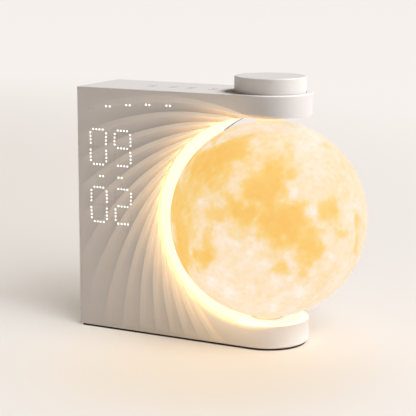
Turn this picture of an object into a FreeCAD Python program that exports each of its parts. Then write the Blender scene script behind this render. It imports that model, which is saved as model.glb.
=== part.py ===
import FreeCAD, Part
import math
import os
import re
import Sketcher

Vector = FreeCAD.Vector
Rotation = FreeCAD.Rotation

# Moon phase desk clock: a slab case with a round bay, a glowing moon globe that turns
# in the bay on a lamp post and an upper pivot, and a push-and-turn dial above it.
# Frame: origin on the surface it stands on, below the globe axis. +X along the front
# from the axis to the open side, +Y to the back, +Z up. Lengths are in millimetres.
SIZES = {
    # case
    "panel_width": 55.7,
    "case_depth": 50.0,
    "shell_foot": 1.4,
    "front_wall": 3.2,
    "side_wall": 2.4,
    "top_wall": 2.8,
    "floor_wall": 2.4,
    "arm_wall": 1.8,
    "edge_round": 0.8,
    "bay_gap": 2.5,
    "base_height": 14.9,
    "arm_height": 12.9,
    "overrun": 1.0,
    # carved fins of the front face
    "fin_sweep_radius": 181.0,
    "fin_rim_inset": 4.4,
    "fin_first_angle": 242.6,
    "fin_pitch_angle": 9.645,
    "fin_depth": 1.9,
    "fin_crest_drop": 0.15,
    "fin_fade_width": 74.9,
    "fin_border": 0.9,
    "fin_border_ramp": 3.5,
    # rear cover and its screws
    "cover_thick": 2.4,
    "cover_inset": 1.2,
    "cover_end": 2.0,
    "cover_gap": 0.15,
    "boss_radius": 3.0,
    "boss_bite": 0.5,
    "boss_length": 14.0,
    "near_boss_reach": 14.0,
    "screw_radius": 1.2,
    "screw_gap": 0.05,
    "screw_length": 10.0,
    "screw_head_radius": 2.3,
    "screw_head_height": 1.3,
    "screw_head_gap": 0.3,
    # foot pad
    "pad_sink": 1.0,
    "pad_inset": 1.2,
    "pad_gap": 0.1,
    # glowing strip round the bay
    "window_half_angle": 80.0,
    "window_lip": 1.6,
    "diffuser_gap": 0.1,
    "rib_clear": 10.9,
    "rib_thick": 1.6,
    "rib_half_angle": 60.0,
    "rib_stand": 7.4,
    "strip_thick": 0.6,
    "strip_width": 10.0,
    "strip_gap": 0.05,
    "bay_led_size": 3.5,
    "bay_led_height": 1.5,
    "bay_led_pitch_angle": 10.2,
    # display
    "digit_inset": 9.2,
    "digit_pitch": 16.8,
    "digit_drop": 25.5,
    "line_pitch": 35.6,
    "digit_width": 10.7,
    "digit_height": 21.4,
    "segment_slot": 2.0,
    "segment_length": 7.8,
    "baffle_margin": 2.2,
    "baffle_thick": 5.0,
    "board_thick": 1.2,
    "display_board_margin": 5.2,
    "display_board_side": 3.6,
    "display_led_length": 2.0,
    "display_led_width": 1.2,
    "display_led_height": 0.8,
    "small_boss_radius": 2.2,
    "small_screw_radius": 0.8,
    "small_screw_length": 5.0,
    "small_head_radius": 1.6,
    "small_head_height": 1.0,
    # indicator row
    "indicator_inset": 7.9,
    "indicator_pitch": 13.6,
    "indicator_drop": 10.0,
    "indicator_board_height": 8.0,
    "indicator_board_margin": 3.0,
    "indicator_standoff": 2.0,
    # touch keys
    "touch_inset": 40.6,
    "touch_pitch": 13.6,
    "touch_pad_radius": 4.0,
    "touch_pad_height": 2.0,
    "touch_board_width": 14.0,
    "touch_board_margin": 9.0,
    "touch_screw_inset": 2.8,
    "upward_screw_length": 4.0,
    # main board
    "main_inset": 12.8,
    "main_length": 42.0,
    "main_low": 10.0,
    "main_height": 40.0,
    "main_standoff": 8.0,
    "main_hole_inset": 3.2,
    "main_boss_radius": 2.4,
    "chip_height": 1.4,
    "usb_inset": 30.0,
    "usb_rise": 8.0,
    "usb_width": 9.0,
    "usb_thick": 3.2,
    "usb_recess": 0.6,
    "usb_wall": 0.35,
    "usb_mouth_depth": 6.2,
    "usb_tongue_thick": 0.7,
    "usb_tongue_width": 6.7,
    "usb_gap": 0.2,
    "cell_inset": 16.0,
    "cell_rise": 24.0,
    "cell_radius": 10.0,
    "cell_thick": 3.2,
    "cell_holder_wall": 1.2,
    "cell_gap": 0.15,
    # speaker
    "speaker_inset": 22.8,
    "speaker_drop": 48.0,
    "speaker_radius": 19.0,
    "speaker_gasket": 0.8,
    "speaker_flange": 1.2,
    "speaker_basket_depth": 8.0,
    "speaker_wall": 1.0,
    "speaker_cone_radius": 15.0,
    "speaker_cone_thick": 0.5,
    "speaker_cone_depth": 4.2,
    "speaker_dome_radius": 5.0,
    "speaker_magnet_radius": 10.0,
    "speaker_magnet_height": 5.0,
    "speaker_screw_circle": 17.7,
    "grille_slot": 1.8,
    "grille_pitch": 4.0,
    "grille_radius": 14.6,
    # dial and its encoder
    "dial_radius": 21.0,
    "dial_rise": 9.4,
    "dial_gap": 0.6,
    "dial_well": 1.1,
    "dial_lift": 1.0,
    "dial_skin": 2.0,
    "dial_round": 0.7,
    "dial_hub_radius": 6.0,
    "dial_insert_wall": 0.9,
    "shaft_radius": 3.0,
    "shaft_flat": 1.5,
    "shaft_tip_radius": 1.2,
    "shaft_tip_height": 1.5,
    "shaft_top_gap": 0.4,
    "running_gap": 0.05,
    "bushing_radius": 3.5,
    "bushing_rise": 2.8,
    "bushing_hole_gap": 0.1,
    "nut_flats": 10.0,
    "nut_height": 1.6,
    "washer_radius": 5.6,
    "washer_thick": 0.4,
    "encoder_width": 12.4,
    "encoder_length": 13.2,
    "encoder_height": 5.2,
    "encoder_wall": 0.9,
    "rotor_radius": 5.0,
    "rotor_gap": 0.35,
    "rotor_height": 2.4,
    "dome_radius": 2.4,
    "dome_height": 0.8,
    "dome_thick": 0.15,
    "dome_gap": 0.3,
    "encoder_board_thick": 1.0,
    "encoder_board_width": 15.0,
    "encoder_board_length": 24.4,
    "encoder_boss_reach": 9.6,
    # globe, its bushes, lamp post and upper pivot
    "globe_radius": 58.6,
    "globe_drop": 1.4,
    "globe_wall": 1.8,
    "bush_radius": 7.0,
    "bush_gap": 0.05,
    "bush_flange_radius": 8.0,
    "bush_flange_thick": 0.7,
    "bush_length": 3.2,
    "post_radius": 4.9,
    "post_bore": 3.7,
    "post_rise": 18.0,
    "post_shoulder": 0.5,
    "post_tail": 4.6,
    "post_nut_flats": 15.0,
    "post_nut_height": 2.4,
    "pivot_radius": 3.0,
    "pivot_dip": 3.4,
    "pivot_tail_radius": 2.4,
    "pivot_tail": 1.9,
    "pivot_nut_flats": 8.0,
    "pivot_nut_height": 1.5,
    "pivot_shoulder_gap": 0.3,
    "seat_gap": 0.4,
    "core_width": 5.0,
    "core_seat": 6.0,
    "core_clear": 21.2,
    "lamp_strip_width": 4.4,
    "lamp_strip_thick": 0.8,
    "lamp_strip_rise": 6.0,
    "lamp_strip_drop": 3.0,
    "lamp_led_size": 2.8,
    "lamp_led_height": 0.8,
    "lamp_led_pitch": 8.4,
}

FIN_COUNT = 15
FIN_STATIONS = 9
FIN_LEAD_SHARE = 0.25
KEY_COUNT = 4
INDICATOR_COUNT = 5
BAY_LED_COUNT = 12
LAMP_LED_COUNT = 8
LINES = 2
DIGITS = 2
CHIP_SHARES = (
    (0.30, 0.62, 0.56, 0.86),
    (0.60, 0.80, 0.34, 0.50),
    (0.72, 0.88, 0.60, 0.74),
)

# Sizes and places that follow from the sheet's sizes.
FOLLOWING = {
    "bay_radius": "(globe_radius + bay_gap)",
    "bay_centre": "(base_height + bay_radius)",
    "case_top": "(bay_centre + bay_radius + arm_height)",
    "case_left": "(bay_radius + panel_width)",
    "globe_centre": "(bay_centre - globe_drop)",
    "dial_top": "(case_top + dial_rise)",
    "fin_fade_radius": "(bay_radius + fin_fade_width)",
    "rib_radius": "(bay_radius + rib_clear)",
    "rib_depth": "(case_depth - front_wall - cover_thick - main_standoff - board_thick - rib_stand)",
    "digit_left": "(case_left - digit_inset)",
    "digit_top": "(case_top - digit_drop)",
    "indicator_left": "(case_left - indicator_inset)",
    "indicator_centre": "(case_top - indicator_drop)",
    "touch_first": "(case_left - touch_inset)",
    "main_left": "(case_left - main_inset)",
    "main_right": "(main_left - main_length)",
    "main_high": "(main_low + main_height)",
    "usb_reach": "(main_left - usb_inset)",
    "usb_height": "(main_low + usb_rise)",
    "cell_reach": "(main_left - cell_inset)",
    "cell_height": "(main_low + cell_rise)",
    "speaker_reach": "(case_left - speaker_inset)",
    "speaker_height": "(case_top - speaker_drop)",
    "post_top": "(globe_centre - globe_radius + post_rise)",
    "core_top": "(globe_centre + globe_radius - core_clear)",
    "lamp_strip_low": "(post_top + lamp_strip_rise)",
    "lamp_strip_high": "(core_top - lamp_strip_drop)",
}

# Levels and faces that several pieces share.
FRONT = "(-case_depth / 2)"
BACK = "(case_depth / 2)"
LEFT = "(-case_left)"
FRONT_IN = "(-case_depth / 2 + front_wall)"
LEFT_IN = "(-case_left + side_wall)"
COVER_IN = "(case_depth / 2 - cover_thick)"
PAD_TOP = "(shell_foot + pad_sink)"
FLOOR_IN = "(shell_foot + pad_sink + floor_wall)"
CEILING = "(case_top - top_wall)"
BASE_TOP = "(bay_centre - bay_radius)"
ARM_UNDER = "(bay_centre + bay_radius)"
BASE_CEILING = "(bay_centre - bay_radius - arm_wall)"
ARM_FLOOR = "(bay_centre + bay_radius + arm_wall)"
WELL_FLOOR = "(case_top - dial_well)"
DIAL_BOTTOM = "(case_top - dial_well + dial_lift)"
ENCODER_FLOOR = "(case_top - top_wall - encoder_height)"
ROTOR_FLOOR = "(case_top - top_wall - encoder_height + encoder_wall + rotor_gap)"
GLOBE_LOW = "(globe_centre - sqrt(globe_radius ^ 2 - bush_radius ^ 2))"
GLOBE_HIGH = "(globe_centre + sqrt(globe_radius ^ 2 - bush_radius ^ 2))"
MAIN_BACK = "(case_depth / 2 - cover_thick - main_standoff)"
MAIN_FRONT = "(case_depth / 2 - cover_thick - main_standoff - board_thick)"

doc = FreeCAD.newDocument("moon_clock")
sheet = doc.addObject("Spreadsheet::Sheet", "Sizes")
for row, (alias, length) in enumerate(SIZES.items(), start=1):
    sheet.set(f"A{row}", str(length))
    sheet.setAlias(f"A{row}", alias)
doc.recompute()


def terms(text):
    """Spells out the sizes that follow from others, and puts the sheet's name before every alias."""
    words = re.compile(r"[a-z_]+")
    while any(word in FOLLOWING for word in words.findall(text)):
        text = words.sub(lambda word: FOLLOWING.get(word[0], word[0]), text)
    return words.sub(lambda word: "Sizes." + word[0] if word[0] in SIZES else word[0], text)


def bind(item, prop, text):
    item.setExpression(prop, terms(text))


def number(text):
    return float(sheet.evalExpression(terms(text)))


def box(name, low, high):
    item = doc.addObject("Part::Box", name)
    for prop, axis, start, end in zip(("Length", "Width", "Height"), "xyz", low, high):
        bind(item, prop, f"({end}) - ({start})")
        bind(item, f"Placement.Base.{axis}", start)
    return item


def rod(name, radius, at, length, axis="z", turn="0", sweep="360"):
    """A cylinder from a point along +Z, or along -Y where the axis is y."""
    item = doc.addObject("Part::Cylinder", name)
    bind(item, "Radius", radius)
    bind(item, "Height", length)
    bind(item, "Angle", sweep)
    lie = Rotation(Vector(1, 0, 0), 90 if axis == "y" else 0)
    item.Placement.Rotation = lie.multiply(Rotation(Vector(0, 0, 1), number(turn)))
    for letter, start in zip("xyz", at):
        bind(item, f"Placement.Base.{letter}", start)
    return item


def hexagon(name, flats, at, length):
    item = doc.addObject("Part::Prism", name)
    item.Polygon = 6
    bind(item, "Circumradius", f"{flats} / sqrt(3)")
    bind(item, "Height", length)
    for letter, start in zip("xyz", at):
        bind(item, f"Placement.Base.{letter}", start)
    return item


def flat_rod(name, gap, low, length):
    """The dial shaft's section, round with one flat, or the hole that it slides in."""
    side = f"shaft_radius - shaft_flat + {gap}"
    return cut(
        name,
        rod(name + "_round", f"shaft_radius + {gap}", ("0", "0", low), length),
        box(name + "_flat", (side, "-shaft_radius - overrun", low),
            ("shaft_radius + overrun", "shaft_radius + overrun", f"{low} + {length}")),
    )


def fuse(name, *shapes):
    item = doc.addObject("Part::MultiFuse", name)
    item.Shapes = list(shapes)
    return item


def common(name, *shapes):
    item = doc.addObject("Part::MultiCommon", name)
    item.Shapes = list(shapes)
    return item


def cut(name, base, *tools):
    item = doc.addObject("Part::Cut", name)
    item.Base = base
    item.Tool = tools[0] if len(tools) == 1 else fuse(name + "_tools", *tools)
    return item


def group(name, *shapes):
    item = doc.addObject("Part::Compound", name)
    item.Links = list(shapes)
    return item


def feature(name, shape):
    item = doc.addObject("Part::Feature", name)
    item.Shape = shape
    return item


def sketch(body, plane, points, offset="0"):
    """A closed outline. A third entry (x, y, way) makes an arc about that centre to the next point."""
    item = body.newObject("Sketcher::SketchObject", body.Name + "_sketch")
    support = [part for part in body.Origin.OriginFeatures if part.Role == plane][0]
    item.AttachmentSupport = [(support, "")]
    item.MapMode = "FlatFace"
    bind(item, "AttachmentOffset.Base.z", offset)
    spots = [Vector(number(point[0]), number(point[1]), 0) for point in points]
    ends = []
    centres = []
    for index, point in enumerate(points):
        here = spots[index]
        there = spots[(index + 1) % len(points)]
        if len(point) == 2:
            item.addGeometry(Part.LineSegment(here, there), False)
            ends.append((1, 2))
            continue
        centre = Vector(number(point[2][0]), number(point[2][1]), 0)
        first, last = (here, there) if point[2][2] == "left" else (there, here)
        angles = [math.atan2(spot.y - centre.y, spot.x - centre.x) for spot in (first, last)]
        ring = Part.Circle(centre, Vector(0, 0, 1), (here - centre).Length)
        item.addGeometry(Part.ArcOfCircle(ring, angles[0], angles[1]), False)
        ends.append((1, 2) if point[2][2] == "left" else (2, 1))
        chord = there - here
        level = abs(chord.x) > abs(chord.y)
        centres.append((index, "DistanceY" if level else "DistanceX", centre, point[2][1 if level else 0]))
    for index in range(len(points)):
        after = (index + 1) % len(points)
        item.addConstraint(Sketcher.Constraint("Coincident", index, ends[index][1], after, ends[after][0]))
    for index, point in enumerate(points):
        for kind, place, text in zip(("DistanceX", "DistanceY"), spots[index], point):
            mark = item.addConstraint(Sketcher.Constraint(kind, -1, 1, index, ends[index][0], place))
            bind(item, f"Constraints[{mark}]", text)
    for index, kind, centre, text in centres:
        place = centre.y if kind == "DistanceY" else centre.x
        mark = item.addConstraint(Sketcher.Constraint(kind, -1, 1, index, 3, place))
        bind(item, f"Constraints[{mark}]", text)
    return item


def turned(name, points):
    """A turned piece: an outline of radius and height, revolved about its own Z axis."""
    body = doc.addObject("PartDesign::Body", name)
    outline = sketch(body, "XZ_Plane", points)
    spin = body.newObject("PartDesign::Revolution", name + "_turning")
    spin.Profile = outline
    spin.ReferenceAxis = (outline, ["V_Axis"])
    spin.Angle = 360
    return body


def plate(name, points, start, thick):
    """A flat piece: an outline seen from the front, from a depth on towards the front."""
    body = doc.addObject("PartDesign::Body", name)
    outline = sketch(body, "XZ_Plane", points, f"-({start})")
    pad = body.newObject("PartDesign::Pad", name + "_pad")
    pad.Profile = outline
    bind(pad, "Length", thick)
    return body


def case_blank():
    body = doc.addObject("PartDesign::Body", "case_blank")
    plan = sketch(body, "XY_Plane", [
        ("0", FRONT, ("0", "0", "left")),
        ("0", BACK),
        (LEFT, BACK),
        (LEFT, FRONT),
    ], "shell_foot")
    pad = body.newObject("PartDesign::Pad", "case_pad")
    pad.Profile = plan
    bind(pad, "Length", "case_top - shell_foot")
    doc.recompute()
    names = []
    for index, edge in enumerate(pad.Shape.Edges, start=1):
        bounds = edge.BoundBox
        seam = bounds.ZLength > number("bay_radius") and bounds.XMax > -number("bay_radius")
        if not seam:
            names.append(f"Edge{index}")
    rounds = body.newObject("PartDesign::Fillet", "case_rounds")
    rounds.Base = (pad, names)
    bind(rounds, "Radius", "edge_round")
    bay = sketch(body, "XZ_Plane", [
        ("case_depth / 2 + overrun", BASE_TOP),
        ("0", BASE_TOP, ("0", "bay_centre", "right")),
        ("0", ARM_UNDER),
        ("case_depth / 2 + overrun", ARM_UNDER),
    ])
    pocket = body.newObject("PartDesign::Pocket", "case_bay")
    pocket.Profile = bay
    pocket.Midplane = True
    bind(pocket, "Length", "case_depth + 2 * overrun")
    return body


def cavity():
    """The room inside the shell, open to the rear behind the cover."""
    core = plate("cavity_core", [
        ("case_depth / 2", FLOOR_IN),
        ("case_depth / 2", BASE_CEILING),
        ("0", BASE_CEILING, ("0", "bay_centre", "right")),
        ("0", ARM_FLOOR),
        ("case_depth / 2", ARM_FLOOR),
        ("case_depth / 2", CEILING),
        (LEFT_IN, CEILING),
        (LEFT_IN, FLOOR_IN),
    ], "case_depth / 2 + overrun", "case_depth + overrun")
    slab = box("cavity_slab", (LEFT_IN, FRONT_IN, "0"), ("0", f"-{FRONT_IN}", "case_top"))
    nose = rod("cavity_nose", f"-{FRONT_IN}", ("0", "0", "0"), "case_top")
    rear_end = "-cover_end - cover_inset"
    rear = box("cavity_rear", (LEFT_IN, "0", "0"), (rear_end, "case_depth / 2 + overrun", "case_top"))
    return common("cavity", core, fuse("cavity_plan", slab, nose, rear))


def cover_outline(gap):
    inner = f"(bay_radius + cover_inset + {gap})"
    end = f"(cover_end + {gap})"
    reach = f"sqrt({inner} ^ 2 - {end} ^ 2)"
    low = f"{PAD_TOP} + cover_inset + {gap}"
    high = f"case_top - cover_inset - {gap}"
    left = f"{LEFT} + cover_inset + {gap}"
    return [
        (f"-{end}", low),
        (f"-{end}", f"bay_centre - {reach}", ("0", "bay_centre", "right")),
        (f"-{end}", f"bay_centre + {reach}"),
        (f"-{end}", high),
        (left, high),
        (left, low),
    ]


FAR_BOSS = f"({LEFT_IN} + boss_radius - boss_bite)"
NEAR_BOSS = "(-near_boss_reach)"
LOW_BOSS = f"({FLOOR_IN} + boss_radius - boss_bite)"
HIGH_BOSS = f"({CEILING} - boss_radius + boss_bite)"
COVER_BOSSES = [(x, z) for x in (FAR_BOSS, NEAR_BOSS) for z in (LOW_BOSS, HIGH_BOSS)]

DIGIT_RIGHT = "(-digit_left + digit_pitch + digit_width)"
DIGIT_BOTTOM = "(digit_top - line_pitch - digit_height)"
DISPLAY_LEFT = "(-digit_left - display_board_side)"
DISPLAY_RIGHT = f"({DIGIT_RIGHT} + display_board_side)"
DISPLAY_LOW = f"({DIGIT_BOTTOM} - baffle_margin - display_board_margin)"
DISPLAY_HIGH = "(digit_top + baffle_margin + display_board_margin)"
DISPLAY_FACE = f"({FRONT_IN} + baffle_thick)"
DISPLAY_BOSSES = [
    (x, z)
    for x in (f"{DISPLAY_LEFT} + display_board_side", f"{DISPLAY_RIGHT} - display_board_side")
    for z in (f"{DISPLAY_LOW} + small_boss_radius", f"{DISPLAY_HIGH} - small_boss_radius")
]
INDICATOR_LEFT = "(-indicator_left - indicator_board_margin)"
INDICATOR_RIGHT = f"(-indicator_left + {INDICATOR_COUNT - 1} * indicator_pitch + indicator_board_margin)"
INDICATOR_BOSSES = [
    ("-indicator_left + indicator_pitch / 2", "indicator_centre"),
    (f"-indicator_left + {INDICATOR_COUNT - 2} * indicator_pitch + indicator_pitch / 2", "indicator_centre"),
]
TOUCH_LEFT = "(-touch_first - touch_board_margin)"
TOUCH_RIGHT = f"(-touch_first + {KEY_COUNT - 1} * touch_pitch + touch_board_margin)"
TOUCH_FACE = f"({CEILING} - touch_pad_height)"
TOUCH_SCREWS = [f"{TOUCH_LEFT} + touch_screw_inset", f"{TOUCH_RIGHT} - touch_screw_inset"]
MAIN_SCREWS = [
    (x, z)
    for x in ("-main_left + main_hole_inset", "-main_right - main_hole_inset")
    for z in ("main_low + main_hole_inset", "main_high - main_hole_inset")
]

SPEAKER_SCREWS = [
    (
        f"(-speaker_reach + {across} * speaker_screw_circle / sqrt(2))",
        f"(speaker_height + {up} * speaker_screw_circle / sqrt(2))",
    )
    for across in (-1, 1)
    for up in (-1, 1)
]


def ring(name, inner, outer, half_angle, back, depth):
    """A part ring round the bay centre, opening to +X, from a depth on towards the front."""
    at = ("0", back, "bay_centre")
    turn = f"180 - {half_angle}"
    sweep = f"2 * {half_angle}"
    whole = rod(name + "_outer", outer, at, depth, "y", turn, sweep)
    core = rod(name + "_inner", inner, ("0", f"{back} + overrun", "bay_centre"), f"{depth} + 2 * overrun", "y")
    return cut(name, whole, core)


def fin_field():
    """Fifteen overlapping wedges whose edges follow crest arcs, one arc turned about the bay centre."""
    sweep = number("fin_sweep_radius")
    away = sweep - number("bay_radius - fin_rim_inset")
    rim = number("bay_radius")
    fade = number("fin_fade_radius")
    start = rim - number("overrun")
    end = fade + number("fin_border_ramp")
    depth = number("fin_depth")
    drop = number("fin_crest_drop")
    face = number(FRONT)
    pitch = math.radians(number("fin_pitch_angle"))

    def crest_angle(radius):
        share = (radius ** 2 + away ** 2 - sweep ** 2) / (2 * radius * away)
        return math.radians(number("fin_first_angle")) - math.acos(share)

    def curve(step, valley):
        spots = []
        for index in range(FIN_STATIONS):
            radius = start + (end - start) * index / (FIN_STATIONS - 1)
            fall = ((radius - rim) / (fade - rim)) ** 2
            low = depth * (1 - fall)
            crest = drop * (1 - 2 * fall)
            level = low if valley else crest + step * (low - crest)
            angle = crest_angle(radius) + step * pitch
            spots.append(Vector(radius * math.cos(angle), face + level, radius * math.sin(angle)))
        line = Part.BSplineCurve()
        line.interpolate(Points=spots, Parameters=[float(index) for index in range(FIN_STATIONS)])
        return line.toShape()

    slope = Part.makeRuledSurface(curve(-FIN_LEAD_SHARE, False), curve(1, True))
    wedge = slope.extrude(Vector(0, -2 * (depth + number("overrun")), 0))
    wedges = []
    for index in range(FIN_COUNT):
        copy = wedge.copy()
        copy.rotate(Vector(0, 0, 0), Vector(0, -1, 0), math.degrees(index * pitch))
        copy.translate(Vector(0, 0, number("bay_centre")))
        wedges.append(copy)
    return feature("fin_wedges", wedges[0].multiFuse(wedges[1:]))


def fin_border():
    """The field's floor, which ramps up to the face along the left and bottom edges."""
    ramp = number("fin_depth / fin_border_ramp")
    deep = number("fin_depth + overrun")
    high = number("overrun")
    face = number(FRONT)
    right = number("case_depth")
    top = number("case_top + overrun")

    def frame(level):
        inset = number("fin_border") + level / ramp
        left = number(LEFT) + inset
        low = number("shell_foot") + inset
        spots = [(left, low), (right, low), (right, top), (left, top)]
        return Part.makePolygon([Vector(x, face + level, z) for x, z in spots + spots[:1]])

    return feature("fin_border", Part.makeLoft([frame(-high), frame(deep)], True, True))


def main_shell():
    blank = case_blank()
    room = cavity()
    recess = plate("cover_recess", cover_outline("0"), "case_depth / 2 + overrun", "cover_thick + overrun")
    window = ring(
        "window", "bay_radius - overrun", "bay_radius + arm_wall + overrun", "window_half_angle",
        f"{COVER_IN} - window_lip", f"{COVER_IN} - window_lip - {FRONT_IN}",
    )
    pad_inner = "case_depth / 2 - pad_inset"
    pad_box = box(
        "pad_recess_box",
        (f"{LEFT} + pad_inset", f"-({pad_inner})", "0"), ("0", pad_inner, PAD_TOP),
    )
    pad_nose = rod("pad_recess_nose", pad_inner, ("0", "0", "0"), PAD_TOP)
    well = rod("dial_well", "dial_radius + dial_gap", ("0", "0", WELL_FLOOR), "dial_well + overrun")
    neck = rod(
        "bushing_hole", "bushing_radius + bushing_hole_gap",
        ("0", "0", f"{CEILING} - overrun"), "top_wall + 2 * overrun",
    )
    post_hole = rod(
        "post_hole", "post_radius + running_gap",
        ("0", "0", f"{BASE_CEILING} - overrun"), "arm_wall + 2 * overrun",
    )
    pivot_hole = rod(
        "pivot_hole", "pivot_tail_radius + running_gap",
        ("0", "0", f"{ARM_UNDER} - overrun"), "arm_wall + 2 * overrun",
    )
    post_seat = rod(
        "post_seat", "bush_flange_radius + seat_gap", ("0", "0", BASE_TOP), "bush_flange_radius",
    )
    pivot_seat = rod(
        "pivot_seat", "bush_flange_radius + seat_gap",
        ("0", "0", f"{ARM_UNDER} - bush_flange_radius"), "bush_flange_radius",
    )
    fins = common("fin_field", fin_field(), fin_border())
    hollow = cut(
        "shell_hollow", blank, room, recess, window, pad_box, pad_nose, well, neck,
        post_hole, pivot_hole, post_seat, pivot_seat,
    )
    carved = cut("shell_carved", hollow, fins)

    bite = "boss_bite"
    inside = []
    wells = []
    for index, (x, z) in enumerate(COVER_BOSSES):
        inside.append(rod(
            f"cover_boss_{index}", "boss_radius", (x, COVER_IN, z), "boss_length", "y",
        ))
        wells.append(rod(
            f"cover_pilot_{index}", "screw_radius + screw_gap",
            (x, f"{COVER_IN} + overrun", z), "screw_length + 2 * overrun", "y",
        ))
    inside.append(ring(
        "strip_rib", "rib_radius", "rib_radius + rib_thick", "rib_half_angle",
        f"{FRONT_IN} + rib_depth", f"rib_depth + {bite}",
    ))
    for index, (x, z) in enumerate(DISPLAY_BOSSES):
        inside.append(rod(
            f"display_boss_{index}", "small_boss_radius", (x, DISPLAY_FACE, z), f"baffle_thick + {bite}", "y",
        ))
        wells.append(rod(
            f"display_pilot_{index}", "small_screw_radius + screw_gap",
            (x, f"{DISPLAY_FACE} + overrun", z), "baffle_thick + overrun", "y",
        ))
    for index, (x, z) in enumerate(INDICATOR_BOSSES):
        inside.append(rod(
            f"indicator_boss_{index}", "small_boss_radius",
            (x, f"{FRONT_IN} + indicator_standoff", z), f"indicator_standoff + {bite}", "y",
        ))
        wells.append(rod(
            f"indicator_pilot_{index}", "small_screw_radius + screw_gap",
            (x, f"{FRONT_IN} + indicator_standoff + overrun", z), "indicator_standoff + overrun", "y",
        ))
    for index, x in enumerate(TOUCH_SCREWS):
        inside.append(rod(
            f"touch_boss_{index}", "small_boss_radius", (x, "0", TOUCH_FACE), f"touch_pad_height + {bite}",
        ))
        wells.append(rod(
            f"touch_pilot_{index}", "small_screw_radius + screw_gap",
            (x, "0", f"{TOUCH_FACE} - overrun"), "touch_pad_height + overrun",
        ))
    for index, y in enumerate(("-encoder_boss_reach", "encoder_boss_reach")):
        inside.append(rod(
            f"encoder_boss_{index}", "small_boss_radius", ("0", y, ENCODER_FLOOR), f"encoder_height + {bite}",
        ))
        wells.append(rod(
            f"encoder_pilot_{index}", "small_screw_radius + screw_gap",
            ("0", y, f"{ENCODER_FLOOR} - overrun"), "encoder_height",
        ))
    ribbed = fuse("shell_ribbed", carved, *inside)
    return cut("main_shell", ribbed, *wells)


def rear_cover():
    body = plate("cover_plate", cover_outline("cover_gap"), BACK, "cover_thick")
    holes = []
    for index, (x, z) in enumerate(COVER_BOSSES):
        holes.append(rod(
            f"cover_hole_{index}", "screw_radius + screw_head_gap",
            (x, f"{BACK} + overrun", z), "cover_thick + 2 * overrun", "y",
        ))
        holes.append(rod(
            f"cover_counterbore_{index}", "screw_head_radius + screw_head_gap",
            (x, f"{BACK} + overrun", z), "screw_head_height + overrun", "y",
        ))
    holes.append(box(
        "usb_cutout",
        ("-usb_reach - usb_width / 2 - usb_gap", f"{COVER_IN} - overrun", "usb_height - usb_thick / 2 - usb_gap"),
        ("-usb_reach + usb_width / 2 + usb_gap", f"{BACK} + overrun", "usb_height + usb_thick / 2 + usb_gap"),
    ))
    bars = []
    count = int(number("grille_radius / grille_pitch"))
    for index in range(-count, count + 1):
        middle = f"speaker_height + {index} * grille_pitch"
        reach = f"sqrt(grille_radius ^ 2 - ({index} * grille_pitch) ^ 2)"
        bars.append(box(
            f"grille_slot_{index + count}",
            (f"-speaker_reach - {reach}", f"{COVER_IN} - overrun", f"{middle} - grille_slot / 2"),
            (f"-speaker_reach + {reach}", f"{BACK} + overrun", f"{middle} + grille_slot / 2"),
        ))
    posts = []
    pilots = []
    for index, (x, z) in enumerate(MAIN_SCREWS):
        posts.append(rod(
            f"main_boss_{index}", "main_boss_radius", (x, f"{COVER_IN} + boss_bite", z),
            "main_standoff + boss_bite", "y",
        ))
        pilots.append(rod(
            f"main_pilot_{index}", "small_screw_radius + screw_gap", (x, COVER_IN, z),
            "main_standoff + overrun", "y",
        ))
    for index, (x, z) in enumerate(SPEAKER_SCREWS):
        pilots.append(rod(
            f"speaker_pilot_{index}", "small_screw_radius + screw_gap",
            (x, f"{BACK} - cover_thick / 4", z), "cover_thick", "y",
        ))
    return cut("rear_cover", fuse("cover_posts", body, *posts), *holes, *bars, *pilots)


def screw(name, x, back, z, radius, length, head_radius, head_height):
    """A screw driven towards the front; the thread is left out."""
    shank = rod(name + "_shank", radius, (x, back, z), length, "y")
    head = rod(name + "_head", head_radius, (x, back, z), head_height, "y")
    return fuse(name, shank, head)


def small_screws(name, spots, back):
    screws = []
    for index, (x, z) in enumerate(spots):
        screws.append(screw(
            f"{name}_{index}", x, f"{back} + small_head_height", z, "small_screw_radius",
            "small_screw_length", "small_head_radius", "small_head_height",
        ))
    return group(name, *screws)


def upward_screws(name, spots, face):
    """Small screws driven upwards into bosses under the top wall."""
    screws = []
    for index, (x, y) in enumerate(spots):
        shank = rod(
            f"{name}_shank_{index}", "small_screw_radius", (x, y, f"{face} - small_head_height"),
            "upward_screw_length",
        )
        head = rod(
            f"{name}_head_{index}", "small_head_radius", (x, y, f"{face} - small_head_height"),
            "small_head_height",
        )
        screws.append(fuse(f"{name}_{index}", shank, head))
    return group(name, *screws)


def cover_screws():
    screws = []
    for index, (x, z) in enumerate(COVER_BOSSES):
        screws.append(screw(
            f"cover_screw_{index}", x, BACK, z, "screw_radius", "screw_length",
            "screw_head_radius", "screw_head_height",
        ))
    return group("cover_screws", *screws)


def foot_pad():
    reach = "case_depth / 2 - pad_inset - pad_gap"
    slab = box(
        "pad_slab", (f"{LEFT} + pad_inset + pad_gap", f"-({reach})", "0"), ("0", reach, PAD_TOP),
    )
    nose = rod("pad_nose", reach, ("0", "0", "0"), PAD_TOP)
    return fuse("foot_pad", slab, nose)


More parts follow.
